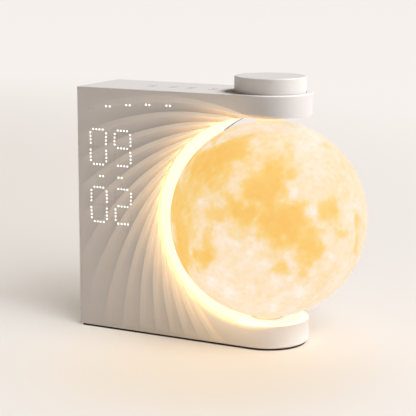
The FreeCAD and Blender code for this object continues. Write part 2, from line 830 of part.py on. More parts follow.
def bay_lights():
    diffuser = ring(
        "bay_diffuser", "bay_radius", "bay_radius + arm_wall", "(window_half_angle - diffuser_gap)",
        f"{COVER_IN} - window_lip - diffuser_gap",
        f"{COVER_IN} - window_lip - {FRONT_IN} - 2 * diffuser_gap",
    )
    outer = "rib_radius - strip_gap"
    strip = ring(
        "bay_light_strip", f"{outer} - strip_thick", outer, "(rib_half_angle - diffuser_gap)",
        "strip_width / 2", "strip_width",
    )
    size = number("bay_led_size")
    tall = number("bay_led_height")
    face = number(f"{outer} - strip_thick - strip_gap")
    chips = []
    for index in range(BAY_LED_COUNT):
        chip = Part.makeBox(tall, size, size, Vector(face - tall, -size / 2, -size / 2))
        angle = 180 + (index - (BAY_LED_COUNT - 1) / 2) * number("bay_led_pitch_angle")
        chip.rotate(Vector(0, 0, 0), Vector(0, -1, 0), angle)
        chip.translate(Vector(0, 0, number("bay_centre")))
        chips.append(chip)
    return diffuser, strip, feature("bay_leds", Part.makeCompound(chips))


def segments():
    """Centres of the seven segments of every digit, and whether each lies flat."""
    spots = []
    for line in range(LINES):
        for digit in range(DIGITS):
            left = f"(-digit_left + {digit} * digit_pitch)"
            top = f"(digit_top - {line} * line_pitch)"
            for step in (0, 1, 2):
                spots.append((f"{left} + digit_width / 2", f"{top} - {step} * digit_height / 2", True))
            for side in (0, 1):
                for step in (1, 3):
                    spots.append((
                        f"{left} + {side} * digit_width", f"{top} - {step} * digit_height / 4", False,
                    ))
    return spots


def display():
    block = box(
        "baffle_block",
        ("-digit_left - baffle_margin", f"{FRONT_IN}", f"{DIGIT_BOTTOM} - baffle_margin"),
        (f"{DIGIT_RIGHT} + baffle_margin", DISPLAY_FACE, "digit_top + baffle_margin"),
    )
    slots = []
    chips = []
    for index, (x, z, flat) in enumerate(segments()):
        wide, tall = ("segment_length", "segment_slot") if flat else ("segment_slot", "segment_length")
        slots.append(box(
            f"segment_slot_{index}",
            (f"{x} - {wide} / 2", f"{FRONT_IN} - overrun", f"{z} - {tall} / 2"),
            (f"{x} + {wide} / 2", f"{DISPLAY_FACE} + overrun", f"{z} + {tall} / 2"),
        ))
        wide, tall = "display_led_length", "display_led_width"
        if not flat:
            wide, tall = tall, wide
        chips.append(box(
            f"display_led_{index}",
            (f"{x} - {wide} / 2", f"{DISPLAY_FACE} - display_led_height", f"{z} - {tall} / 2"),
            (f"{x} + {wide} / 2", DISPLAY_FACE, f"{z} + {tall} / 2"),
        ))
    baffle = cut("display_baffle", block, *slots)
    slab = box(
        "display_slab", (DISPLAY_LEFT, DISPLAY_FACE, DISPLAY_LOW),
        (DISPLAY_RIGHT, f"{DISPLAY_FACE} + board_thick", DISPLAY_HIGH),
    )
    holes = [
        rod(
            f"display_hole_{index}", "small_screw_radius + screw_gap",
            (x, f"{DISPLAY_FACE} + board_thick + overrun", z), "board_thick + 2 * overrun", "y",
        )
        for index, (x, z) in enumerate(DISPLAY_BOSSES)
    ]
    board = cut("display_board", slab, *holes)
    screws = small_screws("display_screws", DISPLAY_BOSSES, f"{DISPLAY_FACE} + board_thick")
    return baffle, board, group("display_leds", *chips), screws


def indicators():
    face = f"({FRONT_IN} + indicator_standoff)"
    half = "indicator_board_height / 2"
    slab = box(
        "indicator_slab", (INDICATOR_LEFT, face, f"indicator_centre - {half}"),
        (INDICATOR_RIGHT, f"{face} + board_thick", f"indicator_centre + {half}"),
    )
    holes = [
        rod(
            f"indicator_hole_{index}", "small_screw_radius + screw_gap",
            (x, f"{face} + board_thick + overrun", z), "board_thick + 2 * overrun", "y",
        )
        for index, (x, z) in enumerate(INDICATOR_BOSSES)
    ]
    board = cut("indicator_board", slab, *holes)
    chips = []
    for index in range(INDICATOR_COUNT):
        x = f"-indicator_left + {index} * indicator_pitch"
        chips.append(box(
            f"indicator_led_{index}",
            (f"{x} - display_led_length / 2", f"{face} - display_led_height",
             "indicator_centre - display_led_width / 2"),
            (f"{x} + display_led_length / 2", face, "indicator_centre + display_led_width / 2"),
        ))
    screws = []
    for index, (x, z) in enumerate(INDICATOR_BOSSES):
        screws.append(screw(
            f"indicator_screw_{index}", x, f"{face} + board_thick + small_head_height", z,
            "small_screw_radius", "board_thick + small_head_height + indicator_standoff",
            "small_head_radius", "small_head_height",
        ))
    return board, group("indicator_leds", *chips), group("indicator_screws", *screws)


def touch_keys():
    half = "touch_board_width / 2"
    slab = box(
        "touch_slab", (TOUCH_LEFT, f"-{half}", f"{TOUCH_FACE} - board_thick"), (TOUCH_RIGHT, half, TOUCH_FACE),
    )
    holes = [
        rod(
            f"touch_hole_{index}", "small_screw_radius + screw_gap",
            (x, "0", f"{TOUCH_FACE} - board_thick - overrun"), "board_thick + 2 * overrun",
        )
        for index, x in enumerate(TOUCH_SCREWS)
    ]
    pads = [
        rod(
            f"touch_pad_{index}", "touch_pad_radius", (f"-touch_first + {index} * touch_pitch", "0", TOUCH_FACE),
            "touch_pad_height",
        )
        for index in range(KEY_COUNT)
    ]
    screws = upward_screws("touch_screws", [(x, "0") for x in TOUCH_SCREWS], f"{TOUCH_FACE} - board_thick")
    return cut("touch_board", slab, *holes), group("touch_pads", *pads), screws


def main_board():
    slab = box(
        "main_slab", ("-main_left", MAIN_FRONT, "main_low"), ("-main_right", MAIN_BACK, "main_high"),
    )
    holes = [
        rod(
            f"main_hole_{index}", "small_screw_radius + screw_gap", (x, f"{MAIN_BACK} + overrun", z),
            "board_thick + 2 * overrun", "y",
        )
        for index, (x, z) in enumerate(MAIN_SCREWS)
    ]
    board = cut("main_board", slab, *holes)
    chips = []
    for index, (left, right, low, high) in enumerate(CHIP_SHARES):
        wide = "(main_left - main_right)"
        tall = "(main_high - main_low)"
        chips.append(box(
            f"chip_{index}",
            (f"-main_left + {left} * {wide}", MAIN_BACK, f"main_low + {low} * {tall}"),
            (f"-main_left + {right} * {wide}", f"{MAIN_BACK} + chip_height", f"main_low + {high} * {tall}"),
        ))
    screws = []
    for index, (x, z) in enumerate(MAIN_SCREWS):
        end = f"{MAIN_FRONT} - small_head_height + small_screw_length"
        shank = rod(f"board_shank_{index}", "small_screw_radius", (x, end, z), "small_screw_length", "y")
        head = rod(f"board_head_{index}", "small_head_radius", (x, MAIN_FRONT, z), "small_head_height", "y")
        screws.append(fuse(f"board_screw_{index}", shank, head))
    return board, group("main_chips", *chips), group("board_screws", *screws)


def usb_socket():
    mouth = f"({BACK} - usb_recess)"
    x = "-usb_reach"
    shell = box(
        "usb_shell",
        (f"{x} - usb_width / 2", MAIN_BACK, "usb_height - usb_thick / 2"),
        (f"{x} + usb_width / 2", mouth, "usb_height + usb_thick / 2"),
    )
    bore = box(
        "usb_bore",
        (f"{x} - usb_width / 2 + usb_wall", f"{mouth} - usb_mouth_depth", "usb_height - usb_thick / 2 + usb_wall"),
        (f"{x} + usb_width / 2 - usb_wall", f"{mouth} + overrun", "usb_height + usb_thick / 2 - usb_wall"),
    )
    tongue = box(
        "usb_tongue",
        (f"{x} - usb_tongue_width / 2", f"{mouth} - usb_mouth_depth - usb_wall",
         "usb_height - usb_tongue_thick / 2"),
        (f"{x} + usb_tongue_width / 2", f"{mouth} - usb_wall", "usb_height + usb_tongue_thick / 2"),
    )
    return fuse("usb_socket", cut("usb_can", shell, bore), tongue)


def backup_cell():
    x = "-cell_reach"
    face = f"({MAIN_FRONT} - cell_holder_wall)"
    cell = rod("backup_cell", "cell_radius", (x, face, "cell_height"), "cell_thick", "y")
    cup = rod(
        "holder_cup", "cell_radius + cell_gap + cell_holder_wall", (x, MAIN_FRONT, "cell_height"),
        "cell_holder_wall + cell_thick", "y",
    )
    seat = rod(
        "holder_seat", "cell_radius + cell_gap", (x, face, "cell_height"), "cell_thick + overrun", "y",
    )
    thumb = box(
        "holder_thumb_gap",
        (f"{x} - cell_radius / 2", f"{face} - cell_thick - overrun", "cell_height"),
        (f"{x} + cell_radius / 2", face, "cell_height + 2 * cell_radius"),
    )
    return cell, cut("cell_holder", cup, seat, thumb)


def speaker():
    x = "-speaker_reach"
    z = "speaker_height"
    seat = f"({COVER_IN} - speaker_gasket)"
    holes = [
        rod(
            f"speaker_hole_{index}", "small_screw_radius + screw_gap", (spot_x, f"{COVER_IN} + overrun", spot_z),
            "speaker_gasket + speaker_flange + 2 * overrun", "y",
        )
        for index, (spot_x, spot_z) in enumerate(SPEAKER_SCREWS)
    ]
    gasket = cut(
        "speaker_gasket",
        rod("gasket_disc", "speaker_radius", (x, COVER_IN, z), "speaker_gasket", "y"),
        rod("gasket_hole", "speaker_cone_radius + speaker_wall", (x, f"{COVER_IN} + overrun", z),
            "speaker_gasket + 2 * overrun", "y"),
        *holes,
    )
    flange = rod("speaker_plate", "speaker_radius", (x, seat, z), "speaker_flange", "y")
    cup = rod("speaker_cup", "speaker_cone_radius + speaker_wall", (x, seat, z), "speaker_basket_depth", "y")
    room = rod(
        "speaker_room", "speaker_cone_radius", (x, f"{seat} + overrun", z),
        "speaker_basket_depth - speaker_wall + overrun", "y",
    )
    frame = cut("speaker_frame", fuse("speaker_basket", flange, cup), room, *holes)
    back = f"({seat} - speaker_basket_depth)"
    magnet = rod("speaker_magnet", "speaker_magnet_radius", (x, back, z), "speaker_magnet_height", "y")
    deep = "speaker_cone_depth"
    edge = "(speaker_cone_radius - running_gap)"
    cone = turned("speaker_cone", [
        ("0", "0"),
        ("speaker_dome_radius", "0"),
        (edge, deep),
        (edge, f"{deep} + speaker_cone_thick"),
        ("speaker_dome_radius", "speaker_cone_thick"),
        ("0", "speaker_cone_thick + speaker_dome_radius / 4"),
    ])
    cone.Placement.Rotation = Rotation(Vector(1, 0, 0), -90)
    for letter, start in zip("xyz", (x, f"{seat} - {deep} - speaker_cone_thick", z)):
        bind(cone, f"Placement.Base.{letter}", start)
    screws = []
    for index, (spot_x, spot_z) in enumerate(SPEAKER_SCREWS):
        end = f"{seat} - speaker_flange - small_head_height"
        shank = rod(
            f"speaker_shank_{index}", "small_screw_radius",
            (spot_x, f"{end} + upward_screw_length", spot_z), "upward_screw_length", "y",
        )
        head = rod(
            f"speaker_head_{index}", "small_head_radius",
            (spot_x, f"{end} + small_head_height", spot_z), "small_head_height", "y",
        )
        screws.append(fuse(f"speaker_screw_{index}", shank, head))
    return gasket, frame, magnet, cone, group("speaker_screws", *screws)


def dial_parts():
    top = "dial_top"
    hub_low = f"{WELL_FLOOR} + washer_thick + nut_height + bushing_rise"
    cap_body = turned("dial_cap", [
        ("shaft_radius + dial_insert_wall + running_gap", hub_low),
        ("dial_hub_radius", hub_low),
        ("dial_hub_radius", f"{top} - dial_skin"),
        ("dial_radius - dial_skin", f"{top} - dial_skin"),
        ("dial_radius - dial_skin", DIAL_BOTTOM),
        ("dial_radius", DIAL_BOTTOM),
        ("dial_radius", top),
        ("0", top),
        ("0", f"{top} - dial_skin"),
        ("shaft_radius + dial_insert_wall + running_gap", f"{top} - dial_skin"),
    ])
    doc.recompute()
    turning = cap_body.Tip
    names = []
    for index, edge in enumerate(turning.Shape.Edges, start=1):
        bounds = edge.BoundBox
        round_edge = bounds.ZLength < number("edge_round") and bounds.XLength > number("dial_radius")
        if round_edge and abs(bounds.ZMax - number(top)) < number("running_gap"):
            names.append(f"Edge{index}")
    rounds = cap_body.newObject("PartDesign::Fillet", "dial_rounds")
    rounds.Base = (turning, names)
    bind(rounds, "Radius", "dial_round")
    insert = cut(
        "dial_insert",
        rod("insert_sleeve", "shaft_radius + dial_insert_wall", ("0", "0", hub_low), f"{top} - dial_skin - ({hub_low})"),
        flat_rod("insert_bore", "running_gap", f"{hub_low} - overrun", f"({top} - ({hub_low}))"),
    )
    tip_low = f"({ENCODER_FLOOR} + dome_height + running_gap)"
    shank_low = f"({tip_low} + shaft_tip_height)"
    shaft = fuse(
        "encoder_shaft",
        rod("shaft_tip", "shaft_tip_radius", ("0", "0", tip_low), "2 * shaft_tip_height"),
        flat_rod("shaft_shank", "0", shank_low, f"({top} - dial_skin - shaft_top_gap - {shank_low})"),
    )
    return cap_body, insert, shaft


def encoder():
    half_wide = "encoder_width / 2"
    half_long = "encoder_length / 2"
    block = box(
        "encoder_block", (f"-{half_wide}", f"-{half_long}", ENCODER_FLOOR), (half_wide, half_long, CEILING),
    )
    bush_top = f"({WELL_FLOOR} + washer_thick + nut_height + bushing_rise / 4)"
    bushing = rod("encoder_bushing", "bushing_radius", ("0", "0", CEILING), f"{bush_top} - {CEILING}")
    bore = rod(
        "encoder_bore", "shaft_radius + running_gap",
        ("0", "0", f"{ENCODER_FLOOR} + encoder_wall"), f"{bush_top} - {ENCODER_FLOOR}",
    )
    chamber = rod(
        "encoder_chamber", "rotor_radius + rotor_gap", ("0", "0", f"{ENCODER_FLOOR} + encoder_wall"),
        "rotor_height + 2 * rotor_gap",
    )
    dome_well = rod(
        "dome_well", "dome_radius + dome_gap", ("0", "0", f"{ENCODER_FLOOR} - overrun"), "encoder_wall + 2 * overrun",
    )
    case = cut("encoder_body", fuse("encoder_case", block, bushing), bore, chamber, dome_well)
    rotor = cut(
        "encoder_rotor",
        rod("rotor_disc", "rotor_radius", ("0", "0", ROTOR_FLOOR), "rotor_height"),
        flat_rod("rotor_bore", "running_gap", f"{ROTOR_FLOOR} - overrun", "(rotor_height + 2 * overrun)"),
    )
    washer = cut(
        "encoder_washer",
        rod("washer_disc", "washer_radius", ("0", "0", WELL_FLOOR), "washer_thick"),
        rod("washer_hole", "bushing_radius + running_gap", ("0", "0", f"{WELL_FLOOR} - overrun"),
            "washer_thick + 2 * overrun"),
    )
    nut_low = f"({WELL_FLOOR} + washer_thick)"
    nut = cut(
        "encoder_nut",
        hexagon("nut_block", "nut_flats", ("0", "0", nut_low), "nut_height"),
        rod("nut_hole", "bushing_radius + running_gap", ("0", "0", f"{nut_low} - overrun"),
            "nut_height + 2 * overrun"),
    )
    half_wide = "encoder_board_width / 2"
    half_long = "encoder_board_length / 2"
    slab = box(
        "encoder_slab", (f"-{half_wide}", f"-{half_long}", f"{ENCODER_FLOOR} - encoder_board_thick"),
        (half_wide, half_long, ENCODER_FLOOR),
    )
    holes = [
        rod(
            f"encoder_hole_{index}", "small_screw_radius + screw_gap",
            ("0", y, f"{ENCODER_FLOOR} - encoder_board_thick - overrun"), "encoder_board_thick + 2 * overrun",
        )
        for index, y in enumerate(("-encoder_boss_reach", "encoder_boss_reach"))
    ]
    board = cut("encoder_board", slab, *holes)
    screws = upward_screws(
        "encoder_screws", [("0", "-encoder_boss_reach"), ("0", "encoder_boss_reach")],
        f"{ENCODER_FLOOR} - encoder_board_thick",
    )
    dome = turned("click_dome", [
        ("0", f"{ENCODER_FLOOR} + dome_height - dome_thick"),
        ("dome_radius - 2 * dome_thick", f"{ENCODER_FLOOR}"),
        ("dome_radius", ENCODER_FLOOR),
        ("0", f"{ENCODER_FLOOR} + dome_height"),
    ])
    return case, rotor, washer, nut, board, screws, dome


def globe():
    centre = ("0", "0", "globe_centre")
    balls = []
    for name, radius in (("globe_outer", "globe_radius"), ("globe_inner", "globe_radius - globe_wall")):
        ball = doc.addObject("Part::Sphere", name)
        bind(ball, "Radius", radius)
        for letter, start in zip("xyz", centre):
            bind(ball, f"Placement.Base.{letter}", start)
        balls.append(ball)
    poles = rod(
        "globe_poles", "bush_radius + bush_gap", ("0", "0", "globe_centre - globe_radius - overrun"),
        "2 * (globe_radius + overrun)",
    )
    shell = cut("globe_shell", balls[0], balls[1], poles)
    bore = "(post_radius + running_gap)"
    lower = turned("globe_lower_bush", [
        (bore, f"{GLOBE_LOW} - bush_flange_thick"),
        ("bush_flange_radius", f"{GLOBE_LOW} - bush_flange_thick"),
        ("bush_flange_radius", GLOBE_LOW),
        ("bush_radius", GLOBE_LOW),
        ("bush_radius", f"{GLOBE_LOW} + bush_length"),
        (bore, f"{GLOBE_LOW} + bush_length"),
    ])
    bore = "(pivot_radius + running_gap)"
    upper = turned("globe_upper_bush", [
        (bore, f"{GLOBE_HIGH} - bush_length"),
        ("bush_radius", f"{GLOBE_HIGH} - bush_length"),
        ("bush_radius", GLOBE_HIGH),
        ("bush_flange_radius", GLOBE_HIGH),
        ("bush_flange_radius", f"{GLOBE_HIGH} + bush_flange_thick"),
        (bore, f"{GLOBE_HIGH} + bush_flange_thick"),
    ])
    return shell, lower, upper


def lamp():
    post = turned("lamp_post", [
        ("post_bore", f"{BASE_CEILING} - post_tail"),
        ("post_radius", f"{BASE_CEILING} - post_tail"),
        ("post_radius", BASE_TOP),
        ("bush_flange_radius", BASE_TOP),
        ("bush_flange_radius", f"{BASE_TOP} + post_shoulder"),
        ("post_radius", f"{BASE_TOP} + post_shoulder"),
        ("post_radius", "post_top"),
        ("post_bore", "post_top"),
    ])
    nut_low = f"({BASE_CEILING} - post_nut_height)"
    nut = cut(
        "post_nut",
        hexagon("post_nut_block", "post_nut_flats", ("0", "0", nut_low), "post_nut_height"),
        rod("post_nut_hole", "post_radius + running_gap", ("0", "0", f"{nut_low} - overrun"),
            "post_nut_height + 2 * overrun"),
    )
    half = "core_width / 2"
    core = box("lamp_core", (f"-{half}", f"-{half}", "post_top - core_seat"), (half, half, "core_top"))
    strips = []
    chips = []
    pitch = "lamp_led_pitch"
    middle = "(lamp_strip_low + lamp_strip_high) / 2"
    for side, (across, sign) in enumerate((("y", 1), ("y", -1), ("x", 1), ("x", -1))):
        face = f"({half})"
        rise = f"({half} + lamp_strip_thick)"
        top = f"({rise} + lamp_led_height)"
        near, far = (face, rise) if sign > 0 else (f"-{rise}", f"-{face}")
        width = "lamp_strip_width / 2"
        low = (f"-{width}", near, "lamp_strip_low") if across == "y" else (near, f"-{width}", "lamp_strip_low")
        high = (width, far, "lamp_strip_high") if across == "y" else (far, width, "lamp_strip_high")
        strips.append(box(f"lamp_strip_{side}", low, high))
        near, far = (rise, top) if sign > 0 else (f"-{top}", f"-{rise}")
        width = "lamp_led_size / 2"
        for index in range(LAMP_LED_COUNT):
            z = f"({middle} + {index - (LAMP_LED_COUNT - 1) / 2} * {pitch})"
            low = (f"-{width}", near, f"{z} - {width}") if across == "y" else (near, f"-{width}", f"{z} - {width}")
            high = (width, far, f"{z} + {width}") if across == "y" else (far, width, f"{z} + {width}")
            chips.append(box(f"lamp_led_{side}_{index}", low, high))
    pivot_low = f"({GLOBE_HIGH} - pivot_dip)"
    shoulder_low = f"({GLOBE_HIGH} + bush_flange_thick + pivot_shoulder_gap)"
    pivot = turned("upper_pivot", [
        ("0", pivot_low),
        ("pivot_radius", pivot_low),
        ("pivot_radius", shoulder_low),
        ("bush_flange_radius", shoulder_low),
        ("bush_flange_radius", ARM_UNDER),
        ("pivot_tail_radius", ARM_UNDER),
        ("pivot_tail_radius", f"{ARM_FLOOR} + pivot_tail"),
        ("0", f"{ARM_FLOOR} + pivot_tail"),
    ])
    pivot_nut = cut(
        "pivot_nut",
        hexagon("pivot_nut_block", "pivot_nut_flats", ("0", "0", ARM_FLOOR), "pivot_nut_height"),
        rod("pivot_nut_hole", "pivot_tail_radius + running_gap", ("0", "0", f"{ARM_FLOOR} - overrun"),
            "pivot_nut_height + 2 * overrun"),
    )
    return post, nut, core, group("lamp_strips", *strips), group("lamp_leds", *chips), pivot, pivot_nut


def build():
    pieces = {"main_shell": main_shell(), "rear_cover": rear_cover()}
    pieces["cover_screws"] = cover_screws()
    pieces["foot_pad"] = foot_pad()
    pieces.update(zip(("bay_diffuser", "bay_light_strip", "bay_leds"), bay_lights()))
    pieces.update(zip(("display_baffle", "display_board", "display_leds", "display_screws"), display()))
    pieces.update(zip(("indicator_board", "indicator_leds", "indicator_screws"), indicators()))
    pieces.update(zip(("touch_board", "touch_pads", "touch_screws"), touch_keys()))
    pieces.update(zip(("main_board", "main_chips", "board_screws"), main_board()))
    pieces["usb_socket"] = usb_socket()
    pieces.update(zip(("backup_cell", "cell_holder"), backup_cell()))
    pieces.update(zip((
        "speaker_gasket", "speaker_frame", "speaker_magnet", "speaker_cone", "speaker_screws",
    ), speaker()))
    pieces.update(zip(("dial_cap", "dial_insert", "encoder_shaft"), dial_parts()))
    pieces.update(zip((
        "encoder_body", "encoder_rotor", "encoder_washer", "encoder_nut", "encoder_board",
        "encoder_screws", "click_dome",
    ), encoder()))
    pieces.update(zip(("globe_shell", "globe_lower_bush", "globe_upper_bush"), globe()))
    pieces.update(zip((
        "lamp_post", "post_nut", "lamp_core", "lamp_strips", "lamp_leds", "upper_pivot", "pivot_nut",
    ), lamp()))
    return pieces


pieces = build()
doc.recompute()
for item in doc.Objects:
    if "Invalid" in item.State or "Error" in item.State:
        raise RuntimeError(f"{item.Name}: {item.State}")
os.makedirs("parts", exist_ok=True)
for name, item in pieces.items():
    item.Label = name
    if item.Shape.isNull() or not item.Shape.isValid():
        raise RuntimeError(f"{name}: the shape isn't valid")
    item.Shape.exportStep(os.path.join("parts", name + ".step"))
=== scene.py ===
import itertools
import math
import bpy
import numpy as np
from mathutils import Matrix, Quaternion, Vector
from mathutils.bvhtree import BVHTree


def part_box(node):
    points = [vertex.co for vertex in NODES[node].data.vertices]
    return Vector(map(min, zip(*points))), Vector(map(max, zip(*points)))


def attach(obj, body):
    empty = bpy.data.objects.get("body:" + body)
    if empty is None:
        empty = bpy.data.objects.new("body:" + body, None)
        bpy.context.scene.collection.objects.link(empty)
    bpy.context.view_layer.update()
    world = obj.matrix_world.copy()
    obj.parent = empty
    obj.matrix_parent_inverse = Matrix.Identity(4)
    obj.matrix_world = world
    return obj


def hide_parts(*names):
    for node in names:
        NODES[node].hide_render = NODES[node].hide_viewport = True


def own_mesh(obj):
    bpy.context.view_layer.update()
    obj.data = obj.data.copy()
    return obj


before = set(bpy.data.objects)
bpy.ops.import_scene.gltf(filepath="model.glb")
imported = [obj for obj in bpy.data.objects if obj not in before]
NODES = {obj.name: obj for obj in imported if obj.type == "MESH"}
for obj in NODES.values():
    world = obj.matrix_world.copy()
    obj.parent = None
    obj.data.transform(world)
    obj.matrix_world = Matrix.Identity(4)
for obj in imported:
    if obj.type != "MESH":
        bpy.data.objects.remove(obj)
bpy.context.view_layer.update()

# Moon phase desk clock: the looks, built on the imported frame. Places of the camera and of the floor's
# painted shade are in metres; lamps, fins, dots and grain are in mm. Angles are in degrees. Colours of surfaces
# are 0 to 255 as on a screen, and colours of lamps are linear light.
MM = 0.001

# ---------------------------------------------------------------- camera and light
CAMERA_PLACE = Vector((0.30036, -0.69296, 0.22872))
CAMERA_TARGET = Vector((-0.03235, -0.01590, 0.08071))
CAMERA_LENS = 112.08
CAMERA_SENSOR = 36.0
CAMERA_ROLL = 0.21
CAMERA_CLIP = (0.01, 100)
PHOTO_WIDTH = 416
FLOOR_REACH = 30.0
# The floor's paper is darker around a place left of the clock and lighter away from it: painted shade. Just before
# the clock it is warmer and darker: painted shade of the clock with the globe's glow in it.
FLOOR_COLOUR = (231, 228, 224)
FLOOR_UNSHADED_COLOUR = (251, 249, 249)
FLOOR_PAINTED_SHADE_PLACE = (-1.0, -0.10, 0.0)
FLOOR_PAINTED_SHADE_REACH = (0.5, 1.6)
FLOOR_PAINTED_WARM_SHADE_PLACE = (-0.01, -0.06, 0.0)
FLOOR_PAINTED_WARM_SHADE_REACH = (0.02, 0.14)
FLOOR_PAINTED_WARM_SHADE_COLOUR = (232, 222, 207)
KEY_AZIMUTH = 110.0
KEY_HEIGHT = 49.0
KEY_STRENGTH = 4.3
KEY_SPREAD = 27.0
KEY_COLOUR = (0.98, 1.0, 1.04)
FLOOR_KEY_AZIMUTH = 66.0
FLOOR_KEY_HEIGHT = 36.0
FLOOR_KEY_STRENGTH = 2.3
FLOOR_KEY_SPREAD = 50.0
FLOOR_KEY_COLOUR = (0.98, 1.01, 1.06)
FLOOR_FILL_HEIGHT = 60.0
FLOOR_FILL_STRENGTH = 1.75
FLOOR_FILL_COLOUR = (0.98, 0.93, 0.86)
GLOBE_LIGHT_RADIUS = 59.8
GLOBE_LIGHT_HEIGHT = 70.6
GLOBE_LIGHT_POWER = 0.165
GLOBE_LIGHT_COLOUR = (1.0, 0.69, 0.35)
RIM_LIGHT_FIRST = 105.0
RIM_LIGHT_SWEEP = 166.0
RIM_LIGHT_RADIUS = 52.0
RIM_LIGHT_FRONT = -33.0
RIM_LIGHT_SIZE = 3.0
RIM_LIGHT_POWER = 0.0017
RIM_LIGHT_SHARES = (
    1.1, 1.1, 1.1, 1.1, 1.0, 0.95, 0.90, 0.85, 0.80, 0.80, 0.80, 0.80, 0.82, 0.85,
    0.9, 0.9, 0.9, 0.9, 0.95, 1.0, 1.0, 1.0, 1.0, 1.0, 0.95, 0.9, 0.8, 0.7,
)
FLOOR_GLOW_POWER = 0.072
FLOOR_GLOW_COLOUR = (1.0, 0.64, 0.30)
POLE_LIGHT_SIZE = 48.0
# Name, height, tilt and power of the discs that light the base and the arm.
POLE_LIGHTS = (("base_light", 16.9, 0.0, 0.0075), ("arm_light", 135.1, 180.0, 0.0030))
POLE_LIGHT_COLOUR = (1.0, 0.93, 0.78)
BASE_GLOW_PLACE = (40.0, -56.0, 36.0)
BASE_GLOW_POWER = 0.028
BASE_GLOW_SIZE = 10.0
BASE_GLOW_COLOUR = (1.0, 0.95, 0.90)
BAY_HEIGHT = 76.0
SKY_COLOUR = (1.0, 0.83, 0.68)
SKY_STRENGTH = 0.155
BACKDROP_COLOUR = (0.90, 0.86, 0.82)


def linear(colour):
    """A screen colour, 0 to 255, as linear light."""
    shares = [channel / 255 for channel in colour]
    return tuple(((s + 0.055) / 1.055) ** 2.4 if s > 0.04045 else s / 12.92 for s in shares)


def make_camera():
    data = bpy.data.cameras.new("camera")
    data.lens = CAMERA_LENS
    data.sensor_width = CAMERA_SENSOR
    data.clip_start, data.clip_end = CAMERA_CLIP
    camera = bpy.data.objects.new("camera", data)
    bpy.context.scene.collection.objects.link(camera)
    look = (CAMERA_TARGET - CAMERA_PLACE).to_track_quat("-Z", "Y")
    camera.rotation_mode = "QUATERNION"
    camera.rotation_quaternion = look @ Quaternion((0, 0, 1), math.radians(CAMERA_ROLL))
    camera.location = CAMERA_PLACE
    bpy.context.scene.camera = camera
    return camera


def link_light(source, objects, state):
    """Lets a lamp or a glowing piece light only these objects ("INCLUDE") or all but these ("EXCLUDE")."""
    group = bpy.data.collections.new(source.name + "_lit")
    for item in objects:
        group.objects.link(item)
    for entry in group.collection_objects:
        entry.light_linking.link_state = state
    source.light_linking.receiver_collection = group


def add_lamp(name, kind, power, colour, shines_on, place=(0, 0, 0)):
    """A lamp at a place in metres. What it shines on is (objects, "INCLUDE" or "EXCLUDE")."""
    data = bpy.data.lights.new(name, kind)
    data.energy = power
    data.color = colour
    lamp = bpy.data.objects.new(name, data)
    lamp.location = place
    bpy.context.scene.collection.objects.link(lamp)
    link_light(lamp, *shines_on)
    return lamp


def add_ball(name, power, colour, shines_on, place, radius, soft_falloff=True):
    """A round lamp that the camera doesn't see. Its radius is in mm."""
    lamp = add_lamp(name, "POINT", power, colour, shines_on, place)
    lamp.data.shadow_soft_size = radius * MM
    if not soft_falloff:
        lamp.data.use_soft_falloff = False
    lamp.visible_camera = False


def add_sun(name, power, colour, shines_on, azimuth, height, spread):
    """A sun that stands in front at azimuth 0 and on the right at 90."""
    lamp = add_lamp(name, "SUN", power, colour, shines_on)
    turn, lift = math.radians(azimuth), math.radians(height)
    toward = Vector((math.cos(lift) * math.sin(turn), -math.cos(lift) * math.cos(turn), math.sin(lift)))
    lamp.rotation_mode = "QUATERNION"
    lamp.rotation_quaternion = (-toward).to_track_quat("-Z", "Y")
    lamp.data.angle = math.radians(spread)
    return lamp


def make_light(floor, fins):
    """A soft key from the right, a little behind on the clock and a little in front on the floor."""
    shell = [NODES["main_shell"], fins]
    on_shell = (shell, "INCLUDE")
    on_case = (shell + [NODES["dial_cap"], NODES["rear_cover"]], "INCLUDE")
    on_floor = ([floor], "INCLUDE")
    globe_middle = (0, 0, GLOBE_LIGHT_HEIGHT * MM)
    add_sun("key", KEY_STRENGTH, KEY_COLOUR, ([floor], "EXCLUDE"), KEY_AZIMUTH, KEY_HEIGHT, KEY_SPREAD)
    add_sun(
        "floor_key", FLOOR_KEY_STRENGTH, FLOOR_KEY_COLOUR, on_floor,
        FLOOR_KEY_AZIMUTH, FLOOR_KEY_HEIGHT, FLOOR_KEY_SPREAD,
    )
    fill = add_sun(
        "floor_fill", FLOOR_FILL_STRENGTH, FLOOR_FILL_COLOUR, on_floor,
        FLOOR_KEY_AZIMUTH, FLOOR_FILL_HEIGHT, FLOOR_KEY_SPREAD,
    )
    fill.data.use_shadow = False
    add_ball(
        "globe_light", GLOBE_LIGHT_POWER, GLOBE_LIGHT_COLOUR, on_case, globe_middle, GLOBE_LIGHT_RADIUS,
        soft_falloff=False,
    )
    for step, share in enumerate(RIM_LIGHT_SHARES):
        turn = math.radians(RIM_LIGHT_FIRST + RIM_LIGHT_SWEEP * step / (len(RIM_LIGHT_SHARES) - 1))
        across = RIM_LIGHT_RADIUS * math.cos(turn)
        up = BAY_HEIGHT + RIM_LIGHT_RADIUS * math.sin(turn)
        add_ball(
            f"rim_light_{step}", RIM_LIGHT_POWER * share, GLOBE_LIGHT_COLOUR, on_shell,
            Vector((across, RIM_LIGHT_FRONT, up)) * MM, RIM_LIGHT_SIZE,
        )
    for name, height, tilt, power in POLE_LIGHTS:
        disc = add_lamp(name, "AREA", power, POLE_LIGHT_COLOUR, on_shell, (0, 0, height * MM))
        disc.data.shape = "DISK"
        disc.data.size = POLE_LIGHT_SIZE * MM
        disc.rotation_euler = (math.radians(tilt), 0, 0)
        disc.visible_camera = False
    add_ball(
        "base_glow", BASE_GLOW_POWER, BASE_GLOW_COLOUR, on_shell, Vector(BASE_GLOW_PLACE) * MM, BASE_GLOW_SIZE
    )
    add_ball(
        "floor_glow", FLOOR_GLOW_POWER, FLOOR_GLOW_COLOUR, on_floor, globe_middle, GLOBE_LIGHT_RADIUS,
        soft_falloff=False,
    )


